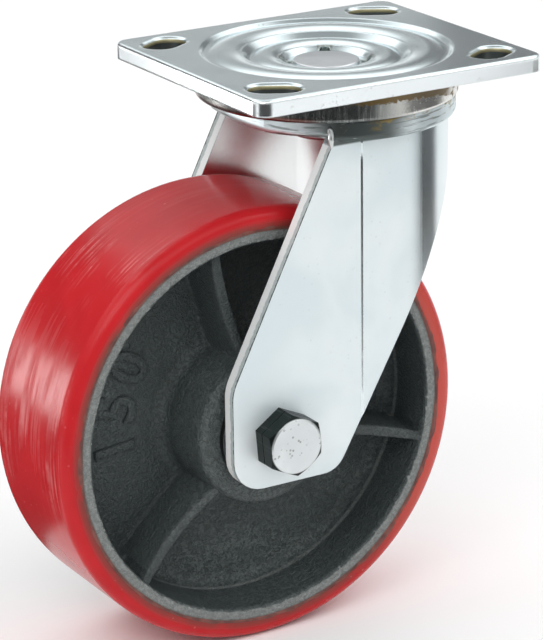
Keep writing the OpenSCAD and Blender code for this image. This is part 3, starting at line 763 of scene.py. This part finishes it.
@dataclass(frozen=True)
class PaintedIron(Finish):
    """Black paint on sand-cast iron, with painted shade in the hollow inside the rim and a bare rim face."""

    name: str
    paint: Colour = (0.042, 0.053, 0.053)
    # Grain tips: thinner paint with a painted sheen on it.
    thin: Colour = (0.092, 0.11, 0.109)
    # Painted shade in the hollow inside the rim.
    cove: Colour = (0.022, 0.029, 0.03)
    bare: Colour = (0.18, 0.197, 0.192)
    bare_grain: Colour = (0.25, 0.27, 0.262)
    chip: Colour = (0.34, 0.36, 0.35)
    bond: Colour = (0.09, 0.05, 0.04)

    def _surface(self, graph: Graph, effects: SharedEffects) -> Surface:
        """Builds the casting with its leathery skin, grain tips lighter as thin paint with a painted sheen, and bare
        rim.
        """
        place = graph.use(effects.axle)
        radius, side = place["Radius"], place["Side"]
        edges = graph.use(effects.edges, Radius=2.2 * MM)
        grain = graph.use(effects.grain, Fine_Scale=650.0, Cloud_Scale=30.0)
        fine = grain["Fine"]
        warped = graph.noise(820.0, 1.5, 0.5, 1.2)
        skin = graph.plus(graph.times(fine, 0.35), graph.times(warped, 0.75))
        # Grain tips painted lighter towards the bottom of the wheel: painted light.
        low_painted_light = graph.step(graph.axes()[2], -145.0 * MM, -182.0 * MM, 0.2, 0.6)
        worn = graph.plus(graph.times(grain["Clouds"], 0.7), low_painted_light)
        # Grain tips lighter, partly thin paint and partly a painted sheen that varies in patches.
        colour = graph.tint(self.paint, self.thin, graph.step(warped, 0.4, 0.64), worn)
        colour = graph.tint(colour, self.bare, edges["Edge"], 0.1)
        inside = graph.step(radius, PLACE.rim_in - 4.2 * MM, PLACE.rim_in - 3.2 * MM)
        # Painted shade in the hollow inside the rim.
        colour = graph.tint(colour, self.cove, inside, graph.band(side, 9.4 * MM, 23.2 * MM, 0.5 * MM), 0.5)
        # Thin lighter line at the web's fillet: partly worn paint, partly a painted highlight.
        line = graph.times(inside, graph.band(side, 7.7 * MM, 9.2 * MM, 0.4 * MM))
        colour = graph.tint(colour, self.bare, line, graph.step(fine, 0.38, 0.58, 0.3, 0.9))
        ragged = graph.plus(radius, graph.times(graph.noise(300.0, 4.0), 1.6 * MM))
        rim = graph.times(
            graph.step(ragged, PLACE.rim_in + 0.9 * MM, PLACE.rim_in + 1.5 * MM),
            graph.step(side, PLACE.rim_face - 0.9 * MM, PLACE.rim_face - 0.3 * MM))
        metal = graph.mix(graph.step(fine, 0.44, 0.58), self.bare, self.bare_grain)
        metal = graph.mix(graph.step(radius, PLACE.rim_r - 1.7 * MM, PLACE.rim_r - 0.4 * MM), metal, self.bond)
        colour = graph.mix(rim, colour, metal)
        flecks = graph.times(
            graph.band(radius, PLACE.rim_in - 0.2 * MM, PLACE.rim_in + 0.7 * MM, 0.3 * MM),
            graph.step(graph.noise(420.0), 0.6, 0.66),
            graph.step(side, PLACE.rim_face - 1.6 * MM, PLACE.rim_face - 0.5 * MM))
        colour = graph.tint(colour, self.chip, flecks, 0.6)
        rough = graph.plus(graph.times(fine, 0.3), 0.26, graph.times(rim, 0.08))
        normal = graph.bump(skin, 1.0, 1.1 * MM, edges["Normal"])
        return {
            "Base Color": colour, "Roughness": rough, "Metallic": graph.times(rim, 0.3), "Normal": normal,
            "Specular IOR Level": 0.42}


@dataclass(frozen=True)
class RedTread(Finish):
    """Semi-gloss cast tread with streaky scuffs that are partly wear and partly a painted sheen, front sides with a
    painted sheen and a darker bond line.
    """

    name: str
    deep: Colour = (0.42, 0.011, 0.015)
    light: Colour = (0.52, 0.017, 0.022)
    # Pale scuffs: partly wear, partly a painted sheen.
    scuff: Colour = (0.72, 0.27, 0.27)
    # Painted sheen on the front of the tread's side faces.
    chalk: Colour = (0.5, 0.115, 0.085)
    bond: Colour = (0.13, 0.05, 0.04)

    def _surface(self, graph: Graph, effects: SharedEffects) -> Surface:
        """Builds the tread."""
        place = graph.use(effects.axle)
        radius, turn = place["Radius"], place["Turn"]
        grain = graph.use(effects.grain, Fine_Scale=160.0, Cloud_Scale=22.0)
        edges = graph.use(effects.edges, Radius=0.8 * MM)
        streaks = graph.use(effects.streaks, Scale=620.0)["Streaks"]
        specks = graph.use(effects.specks, Scale=260.0, Reach=0.1)
        outer = graph.step(radius, PLACE.rim_r + 5.6 * MM, PLACE.rim_r + 6.3 * MM)
        # Scuffs gather where the tread's highlights fall: partly wear, partly a painted sheen.
        rubbed_and_sheen_zone = graph.plus(graph.band(turn, -8.0, 22.0, 10.0), graph.band(turn, 46.0, 60.0, 8.0))
        patches = graph.step(graph.noise(34.0, 5.0, 0.65, at=graph.coordinates((1.0, 1.6, 1.0))), 0.44, 0.66)
        patches = graph.times(patches, graph.plus(graph.times(rubbed_and_sheen_zone, 0.9), 0.1))
        scuffs = graph.times(graph.step(streaks, 0.3, 0.9), patches, outer)
        side = graph.step(place["Side"], PLACE.tread_half - 1.2 * MM, PLACE.tread_half - 0.2 * MM)
        front = graph.step(graph.size(turn), 115.0, 150.0)
        smudge = graph.times(
            side, graph.step(radius, PLACE.rim_r + 3.4 * MM, PLACE.rim_r + 0.6 * MM),
            graph.step(graph.noise(90.0), 0.1, 0.5), graph.rest(graph.times(front, 0.85)))
        colour = graph.mix(grain["Clouds"], self.deep, self.light)
        colour = graph.tint(colour, self.scuff, scuffs, 0.6)
        # Front of the side faces painted lighter as a painted sheen.
        colour = graph.tint(colour, self.chalk, side, front, 0.6)
        colour = graph.tint(colour, self.bond, smudge, 0.72)
        colour = graph.tint(colour, self.scuff, specks["Mask"], 0.25)
        worn = graph.step(graph.noise(90.0, at=graph.coordinates((0.4, 1.0, 0.4))), 0.35, 0.65)
        run = graph.times(
            graph.step(graph.axes()[1], -20.0 * MM, -2.0 * MM, 0.2, 1.0), graph.step(streaks, 0.1, 0.8),
            graph.band(turn, -4.0, 30.0, 12.0), worn)
        rough = graph.plus(
            graph.times(scuffs, 0.16), graph.times(grain["Fine"], 0.08), graph.times(run, 0.36),
            graph.times(smudge, 0.2), 0.17)
        height = graph.plus(graph.times(scuffs, 0.5), graph.times(grain["Fine"], 0.5))
        normal = graph.bump(height, 0.1, 0.1 * MM, edges["Normal"])
        return {
            "Base Color": colour, "Roughness": rough, "Normal": normal, "IOR": 1.48, "Specular IOR Level": 0.2}


@dataclass(frozen=True)
class Smear(Finish):
    """Old grease, bonding agent or another soft smear."""

    name: str
    thick: Colour
    thin: Colour
    roughness: float

    def _surface(self, graph: Graph, effects: SharedEffects) -> Surface:
        """Builds the smear."""
        grain = graph.use(effects.grain, Fine_Scale=420.0, Cloud_Scale=160.0)
        colour = graph.mix(grain["Clouds"], self.thick, self.thin)
        rough = graph.plus(graph.times(grain["Fine"], 0.2), self.roughness)
        normal = graph.bump(grain["Fine"], 0.6, 0.12 * MM)
        return {"Base Color": colour, "Roughness": rough, "Normal": normal}


class Shop:
    """Edit-mode steps that the added pieces share."""

    @staticmethod
    def clear() -> None:
        """Deselects every object."""
        if bpy.context.object is not None and bpy.context.object.mode != "OBJECT":
            bpy.ops.object.mode_set(mode="OBJECT")
        bpy.ops.object.select_all(action="DESELECT")

    @staticmethod
    def settle(piece: bpy.types.Object, name: str) -> None:
        """Names a piece and puts its place, turn and size into its mesh.

        Args:
            piece: The piece, which is the only one selected.
            name: Its new name.
        """
        piece.name = name
        piece.data.name = name
        bpy.ops.object.transform_apply(location=True, rotation=True, scale=True)

    @staticmethod
    def clean() -> None:
        """Merges doubled points of the active piece and turns every face outwards."""
        bpy.ops.object.mode_set(mode="EDIT")
        bpy.ops.mesh.select_all(action="SELECT")
        bpy.ops.mesh.remove_doubles(threshold=1e-6)
        bpy.ops.mesh.normals_make_consistent(inside=False)
        bpy.ops.object.mode_set(mode="OBJECT")

    @staticmethod
    def roughen(piece: bpy.types.Object, size: float, depth: float) -> None:
        """Pushes the surface in and out with cloud noise and applies it.

        Args:
            piece: The piece, which is active.
            size: Size of the lumps in metres.
            depth: Height of the lumps in metres.
        """
        texture = bpy.data.textures.new(piece.name + "_lumps", "CLOUDS")
        texture.noise_scale = size
        lumps = piece.modifiers.new("lumps", "DISPLACE")
        lumps.texture = texture
        lumps.texture_coords = "GLOBAL"
        lumps.strength = depth
        lumps.mid_level = 0.5
        bpy.ops.object.modifier_apply(modifier=lumps.name)

    @staticmethod
    def finish(piece: bpy.types.Object, material: bpy.types.Material, body: Body, slot: str | None = None) -> None:
        """Shades a piece smooth, dresses it and lets it ride on its body.

        Args:
            piece: The piece, which is active and selected.
            material: Its material.
            body: Body that carries it.
            slot: Material slot of the record, if it shares one. Not used.
        """
        bpy.ops.object.shade_smooth_by_angle(angle=math.radians(40))
        piece.data.materials.clear()
        piece.data.materials.append(material)
        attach(piece, body.value)
        LOG.info("piece %s rides on %s", piece.name, body.value)


@dataclass
class WheelDetails:
    """Small pieces of the wheel: cast size numerals and the bond beads beside the tread."""

    numerals: str = "150"
    numeral_size: float = 21.0 * MM
    numeral_rise: float = 0.5 * MM
    numeral_edge: float = 0.55 * MM
    numeral_r: float = 45.5 * MM
    numeral_angles: tuple[float, ...] = (186.0, 168.0, 150.0)
    bead_r: float = 0.9 * MM
    bead_flat: float = 0.35
    bead_sunk: float = 0.3 * MM

    def build(self, iron: bpy.types.Material, bond: bpy.types.Material) -> None:
        """Builds and dresses the wheel's small pieces.

        Args:
            iron: Finish of the casting.
            bond: Finish of the bond beads.
        """
        for angle, digit in zip(self.numeral_angles, self.numerals):
            self._numeral(digit, angle, iron)
        for side in Side:
            self._bead(side, bond)

    def _numeral(self, digit: str, angle: float, iron: bpy.types.Material) -> None:
        """Raised cast numeral on the web.

        Args:
            digit: The numeral.
            angle: Its place around the axle, in degrees from X towards Z.
            iron: Finish of the casting.
        """
        Shop.clear()
        bpy.ops.object.text_add()
        words = bpy.context.object
        words.data.body = digit
        words.data.align_x = "CENTER"
        words.data.align_y = "CENTER"
        words.data.size = self.numeral_size
        words.data.extrude = self.numeral_rise
        words.data.bevel_depth = self.numeral_edge
        words.data.bevel_resolution = 3
        words.data.resolution_u = 6
        bpy.ops.object.convert(target="MESH")
        piece = bpy.context.object
        turn = math.radians(angle)
        out = Vector((math.cos(turn), 0.0, math.sin(turn)))
        across = Vector((math.sin(turn), 0.0, -math.cos(turn)))
        towards = Vector((0.0, -1.0, 0.0))
        spin = Matrix((across, out, towards)).transposed().to_4x4()
        middle = Vector((PLACE.axle_x, -PLACE.web_face, PLACE.axle_z)) + out * self.numeral_r
        piece.matrix_world = Matrix.Translation(middle) @ spin
        Shop.settle(piece, f"size_numeral_{digit}")
        Shop.clean()
        Shop.finish(piece, iron, Body.WHEEL, "black_iron")

    def _bead(self, side: Side, bond: bpy.types.Material) -> None:
        """Uneven bead of bonding agent between tread and rim.

        Args:
            side: Side of the wheel.
            bond: Finish of the bead.
        """
        Shop.clear()
        bpy.ops.mesh.primitive_torus_add(
            major_radius=PLACE.rim_r, minor_radius=self.bead_r, major_segments=220, minor_segments=8,
            location=(PLACE.axle_x, side.value * (PLACE.tread_half - self.bead_sunk), PLACE.axle_z),
            rotation=(math.pi / 2, 0.0, 0.0))
        piece = bpy.context.object
        piece.scale = (1.0, 1.0, self.bead_flat)
        Shop.settle(piece, f"bond_bead_{side.name.lower()}")
        Shop.roughen(piece, 7.0 * MM, 0.6 * MM)
        Shop.finish(piece, bond, Body.WHEEL)


@dataclass
class HeadDetails:
    """Small pieces of the swivel head: squeezed grease under the plate and zinc lumps on the fork."""

    grease_r: float = 0.8 * MM
    grease_rear: float = -4.0 * MM
    lump_r: tuple[float, ...] = (1.0 * MM, 0.8 * MM)
    lump_tall: tuple[float, ...] = (3.4, 1.5)
    lumps: tuple[Place, ...] = ((-20.3, -35.2, -20.4), (-20.7, -34.9, -17.8))

    def build(self, grease: bpy.types.Material, zinc: bpy.types.Material) -> None:
        """Builds and dresses the head's small pieces.

        Args:
            grease: Finish of the grease.
            zinc: Finish of the lumps.
        """
        self._grease_line(grease)
        self._lumps(zinc)

    def _grease_line(self, grease: bpy.types.Material) -> None:
        """Line of grease where the race ring meets the plate, round the front half."""
        Shop.clear()
        bpy.ops.mesh.primitive_torus_add(
            major_radius=PLACE.ring_r + 0.1 * MM, minor_radius=self.grease_r, major_segments=240, minor_segments=10,
            location=(0.0, 0.0, PLACE.plate_under - 0.2 * MM))
        piece = bpy.context.object
        Shop.settle(piece, "race_grease")
        bpy.ops.object.mode_set(mode="EDIT")
        bpy.ops.mesh.select_all(action="SELECT")
        bpy.ops.mesh.bisect(
            plane_co=(self.grease_rear, 0.0, 0.0), plane_no=(1.0, 0.15, 0.0), clear_inner=True, use_fill=True)
        bpy.ops.object.mode_set(mode="OBJECT")
        Shop.roughen(piece, 5.0 * MM, 1.3 * MM)
        Shop.finish(piece, grease, Body.PLATE)

    def _lumps(self, zinc: bpy.types.Material) -> None:
        """Drip of zinc, made of two joined lumps, at the near leg's upper corner."""
        made: list[bpy.types.Object] = []
        Shop.clear()
        for place, radius, tall in zip(self.lumps, self.lump_r, self.lump_tall):
            bpy.ops.mesh.primitive_ico_sphere_add(subdivisions=4, radius=radius, location=Vector(place) * MM)
            bpy.context.object.scale = (1.0, 1.0, tall)
            bpy.ops.object.transform_apply(location=True, scale=True)
            made.append(bpy.context.object)
        drip = made[0]
        drip.select_set(True)
        bpy.context.view_layer.objects.active = drip
        bpy.ops.object.join()
        Shop.settle(drip, "zinc_lumps")
        Shop.roughen(drip, 2.6 * MM, 0.4 * MM)
        Shop.finish(drip, zinc, Body.FORK)


@dataclass
class AxleDetails:
    """Thread on the end of the axle bolt that shows past the nut."""

    pitch: float = 1.75 * MM
    depth: float = 0.55 * MM
    turns: int = 2
    steps: int = 48

    def build(self, steel: bpy.types.Material) -> None:
        """Winds the thread's ridge around the bolt's end.

        Args:
            steel: Finish of the bolt.
        """
        Shop.clear()
        start = PLACE.nut_end + 0.1 * MM
        bpy.ops.mesh.primitive_plane_add(size=1.0)
        piece = bpy.context.object
        piece.scale = (self.depth, self.pitch * 0.5, 1.0)
        bpy.ops.object.transform_apply(scale=True)
        bpy.ops.object.mode_set(mode="EDIT")
        bpy.ops.mesh.select_all(action="SELECT")
        bpy.ops.mesh.bevel(offset=0.18 * MM, segments=2, affect="VERTICES")
        bpy.ops.mesh.delete(type="ONLY_FACE")
        bpy.ops.mesh.select_all(action="SELECT")
        bpy.ops.transform.translate(value=(PLACE.bolt_r - 0.2 * self.depth, 0.0, 0.0))
        bpy.ops.transform.rotate(value=math.pi / 2, orient_axis="X", center_override=(0.0, 0.0, 0.0))
        bpy.ops.object.mode_set(mode="OBJECT")
        winding = piece.modifiers.new("winding", "SCREW")
        winding.axis = "Z"
        winding.screw_offset = self.pitch * 0.7
        winding.iterations = self.turns
        winding.steps = self.steps
        winding.render_steps = self.steps
        bpy.ops.object.modifier_apply(modifier=winding.name)
        piece.location = (PLACE.axle_x, start + self.pitch * 0.25, PLACE.axle_z)
        piece.rotation_euler = (-math.pi / 2, 0.0, 0.0)
        Shop.settle(piece, "bolt_thread")
        Shop.clean()
        Shop.finish(piece, steel, Body.FORK, "zinc_bolt")


@dataclass(frozen=True)
class Card:
    """Dark card that only shows in reflections."""

    name: str
    place: Place
    facing: Place
    wide: float
    high: float
    grey: float = 0.03


@dataclass(frozen=True)
class Lamp:
    """Soft lamp that faces the castor. One that doesn't light only shows in reflections."""

    name: str
    place: Place
    size: float
    watts: float
    lights: bool = True


@dataclass(frozen=True)
class Studio:
    """Pale floor, soft light and the camera of the photograph's view."""

    yaw: float = -30.921
    pitch: float = 19.193
    roll: float = -0.736
    aim: Place = (-21.052 * MM, 0.0, -92.016 * MM)
    distance: float = 1005.07 * MM
    lens: float = 165.455
    shift: tuple[float, float] = (-0.00652, -0.00306)
    floor_grey: float = 0.93
    floor_size: float = 14.0
    sky: float = 1.2
    cards: tuple[Card, ...] = (
        Card("right_card", (0.32, -0.18, -0.14), (-0.88, 0.475, 0.0), 0.31, 0.13),
        Card("left_card", (-0.17, -0.28, -0.09), (0.5, 0.866, 0.0), 0.56, 0.2),
        Card("rear_card", (0.545, 0.475, 0.22), (-0.57, -0.75, -0.33), 0.3, 0.3, 0.16),
        Card("back_card", (-0.3, 0.5, 0.14), (0.39, -0.92, 0.0), 0.5, 0.3, 0.07),
        Card("low_card", (-0.45, 0.487, -0.19), (0.0, 0.0, 1.0), 0.86, 0.86, 0.05),
    )
    lamps: tuple[Lamp, ...] = (
        Lamp("left_window", (-0.9, -0.7, 0.95), 0.9, 4.5),
        Lamp("right_window", (0.9, -0.6, 0.9), 0.8, 2.0),
        Lamp("rear_left_window", (-0.465, 0.486, -0.112), 0.17, 0.72, False),
        Lamp("rear_window", (-0.28, 1.13, 0.735), 0.4, 0.35),
    )

    def build(self, low: float) -> None:
        """Builds the world, floor, cards, lamps and camera.

        Args:
            low: Height of the floor.
        """
        bpy.context.scene.view_settings.view_transform = "Standard"
        self._world()
        self._floor(low)
        for card in self.cards:
            self._card(card)
        for lamp in self.lamps:
            self._lamp(lamp)
        self._camera()

    def _world(self) -> None:
        """Pale surroundings: a white sweep below, a grey wall behind and bright panels above."""
        world = bpy.data.worlds.new("studio")
        bpy.context.scene.world = world
        world.use_nodes = True
        graph = Graph(world.node_tree)
        _, _, height = graph.axes(graph.node("ShaderNodeTexCoord").outputs["Generated"])
        wall = graph.times(graph.step(height, 0.1, 0.2), graph.step(height, 0.42, 0.54, 0.78, 0.0))
        ceiling = graph.step(height, 0.84, 0.95, 0.0, 0.8)
        panels = graph.times(graph.band(height, 0.56, 0.8, 0.06), 0.45)
        level = graph.math("SUBTRACT", graph.math("SUBTRACT", self.sky, wall), ceiling)
        seen = graph.node("ShaderNodeLightPath").outputs["Is Camera Ray"]
        colour = graph.mix(seen, graph.plus(level, panels), (1.0, 1.0, 1.0))
        graph.fill(graph.nodes["Background"], Color=colour, Strength=1.0)

    @staticmethod
    def _dress(piece: bpy.types.Object, paint: str, grey: float, rough: float) -> None:
        """Makes a piece of the stage plain grey and leaves it out of the model.

        Args:
            piece: The piece.
            paint: Name of its material.
            grey: Its brightness.
            rough: Its roughness.
        """
        material = bpy.data.materials.new(paint)
        material.use_nodes = True
        graph = Graph(material.node_tree)
        graph.fill(graph.nodes["Principled BSDF"], Base_Color=(grey, grey, grey), Roughness=rough)
        piece.data.materials.append(material)
        piece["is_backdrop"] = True

    def _floor(self, low: float) -> None:
        """Wide pale floor under the wheel."""
        Shop.clear()
        bpy.ops.mesh.primitive_plane_add(size=self.floor_size, location=(0.0, 0.0, low))
        floor = bpy.context.object
        floor.name = "floor"
        self._dress(floor, "pale_floor", self.floor_grey, 0.9)

    def _card(self, card: Card) -> None:
        """Places a card, which the camera and matt surfaces don't see."""
        Shop.clear()
        bpy.ops.mesh.primitive_plane_add(size=1.0, location=card.place)
        piece = bpy.context.object
        piece.name = card.name
        piece.rotation_euler = Vector(card.facing).to_track_quat("Z", "Y").to_euler()
        piece.scale = (card.wide, card.high, 1.0)
        piece.visible_camera = False
        piece.visible_diffuse = False
        piece.visible_shadow = False
        self._dress(piece, card.name, card.grey, 1.0)

    def _lamp(self, lamp: Lamp) -> None:
        """Hangs a square lamp that points at the castor."""
        data = bpy.data.lights.new(lamp.name, "AREA")
        data.shape = "SQUARE"
        data.size = lamp.size
        data.energy = lamp.watts
        piece = bpy.data.objects.new(lamp.name, data)
        bpy.context.scene.collection.objects.link(piece)
        piece.visible_camera = False
        piece.visible_diffuse = lamp.lights
        piece.location = lamp.place
        piece.rotation_euler = (Vector(self.aim) - Vector(lamp.place)).to_track_quat("-Z", "Y").to_euler()

    def _camera(self) -> None:
        """Camera at the photograph's viewing angle."""
        yaw, pitch, roll = (math.radians(angle) for angle in (self.yaw, self.pitch, self.roll))
        back = Vector((math.sin(yaw) * math.cos(pitch), -math.cos(yaw) * math.cos(pitch), math.sin(pitch)))
        right = Vector((math.cos(yaw), math.sin(yaw), 0.0))
        up = back.cross(right)
        across = right * math.cos(roll) + up * math.sin(roll)
        upright = up * math.cos(roll) - right * math.sin(roll)
        turn = Matrix((across, upright, back)).transposed().to_4x4()
        data = bpy.data.cameras.new("photo_camera")
        data.lens = self.lens
        data.sensor_width = 36.0
        data.shift_x, data.shift_y = self.shift
        data.clip_start, data.clip_end = 0.05, 50.0
        camera = bpy.data.objects.new("photo_camera", data)
        bpy.context.scene.collection.objects.link(camera)
        camera.matrix_world = Matrix.Translation(Vector(self.aim) + back * self.distance) @ turn
        bpy.context.scene.camera = camera


@dataclass
class Castor:
    """The whole castor: its CAD nodes, their finishes and the added pieces."""

    nodes: dict[str, bpy.types.Object]
    effects: SharedEffects = field(default_factory=SharedEffects)
    finishes: dict[str, bpy.types.Material] = field(default_factory=dict)

    def mix_finishes(self) -> None:
        """Builds the material of every slot and of the smears."""
        recipes: tuple[Finish, ...] = (
            Zinc("zinc_plate", (0.715, 0.81, 0.835), (0.65, 0.74, 0.765), 0.22, 0.1,
                 edge_radius=1.0 * MM, place=ZincPlace.PLATE),
            Zinc("zinc_ring", (0.86, 0.87, 0.85), (0.68, 0.68, 0.65), 0.26, 0.14, place=ZincPlace.RING),
            Zinc("zinc_pin", (0.7, 0.73, 0.75), (0.55, 0.58, 0.6), 0.34, 0.12, place=ZincPlace.PIN),
            Zinc("zinc_cup", (0.68, 0.7, 0.7), (0.52, 0.54, 0.54), 0.34, 0.12),
            Zinc("zinc_fork", (0.81, 0.865, 0.875), (0.7, 0.785, 0.815), 0.24, 0.1,
                 cloud_scale=26.0, dirt=0.1, place=ZincPlace.FORK),
            Zinc("zinc_bolt", (0.78, 0.82, 0.83), (0.68, 0.72, 0.73), 0.4, 0.16,
                 edge_radius=0.4 * MM, place=ZincPlace.BOLT),
            Zinc("zinc_nut", (0.72, 0.74, 0.74), (0.56, 0.58, 0.58), 0.32, 0.14, edge_radius=0.4 * MM),
            Zinc("zinc_washer", (0.74, 0.76, 0.76), (0.6, 0.62, 0.62), 0.3, 0.12, edge_radius=0.3 * MM),
            DarkSteel("bearing_steel", (0.62, 0.63, 0.64), (0.78, 0.79, 0.8), 0.12),
            DarkSteel("spring_steel", (0.3, 0.3, 0.3), (0.55, 0.55, 0.55), 0.3),
            DarkSteel("thrust_steel", (0.06, 0.065, 0.065), (0.3, 0.31, 0.31), 0.34),
            DarkSteel("cage_steel", (0.34, 0.31, 0.26), (0.5, 0.48, 0.42), 0.34),
            PaintedIron("black_iron"),
            RedTread("red_tread"),
            Zinc("zinc_drip", (0.82, 0.86, 0.86), (0.6, 0.64, 0.64), 0.3, 0.1, dirt=0.2),
            Smear("old_grease", (0.07, 0.045, 0.016), (0.2, 0.14, 0.05), 0.3),
            Smear("bond_bead", (0.09, 0.03, 0.025), (0.2, 0.06, 0.045), 0.45),
        )
        self.finishes = {recipe.name: recipe.material(self.effects) for recipe in recipes}

    def dress(self, subparts: list[dict[str, object]]) -> None:
        """Gives each CAD node the finish of its slot.

        Args:
            subparts: The record's list of nodes and slots.
        """
        for row in subparts:
            node = self.nodes[str(row["node"])]
            node.material_slots[0].material = self.finishes[str(row["material_slot"])]
            LOG.info("node %s wears %s", row["node"], row["material_slot"])

    def add_details(self) -> None:
        """Builds the small pieces that the solids leave out."""
        WheelDetails().build(self.finishes["black_iron"], self.finishes["bond_bead"])
        HeadDetails().build(self.finishes["old_grease"], self.finishes["zinc_drip"])
        AxleDetails().build(self.finishes["zinc_bolt"])


def main() -> None:
    """Loads the castor, dresses it, adds its small pieces and sets the studio."""
    logging.basicConfig(level=logging.INFO, format="%(name)s: %(message)s")
    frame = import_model()
    cad_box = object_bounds()
    castor = Castor(frame["nodes"])
    castor.mix_finishes()
    castor.dress(frame["record"]["subparts"])
    castor.add_details()
    Studio().build(cad_box[0].z)


if __name__ == "__main__":
    main()
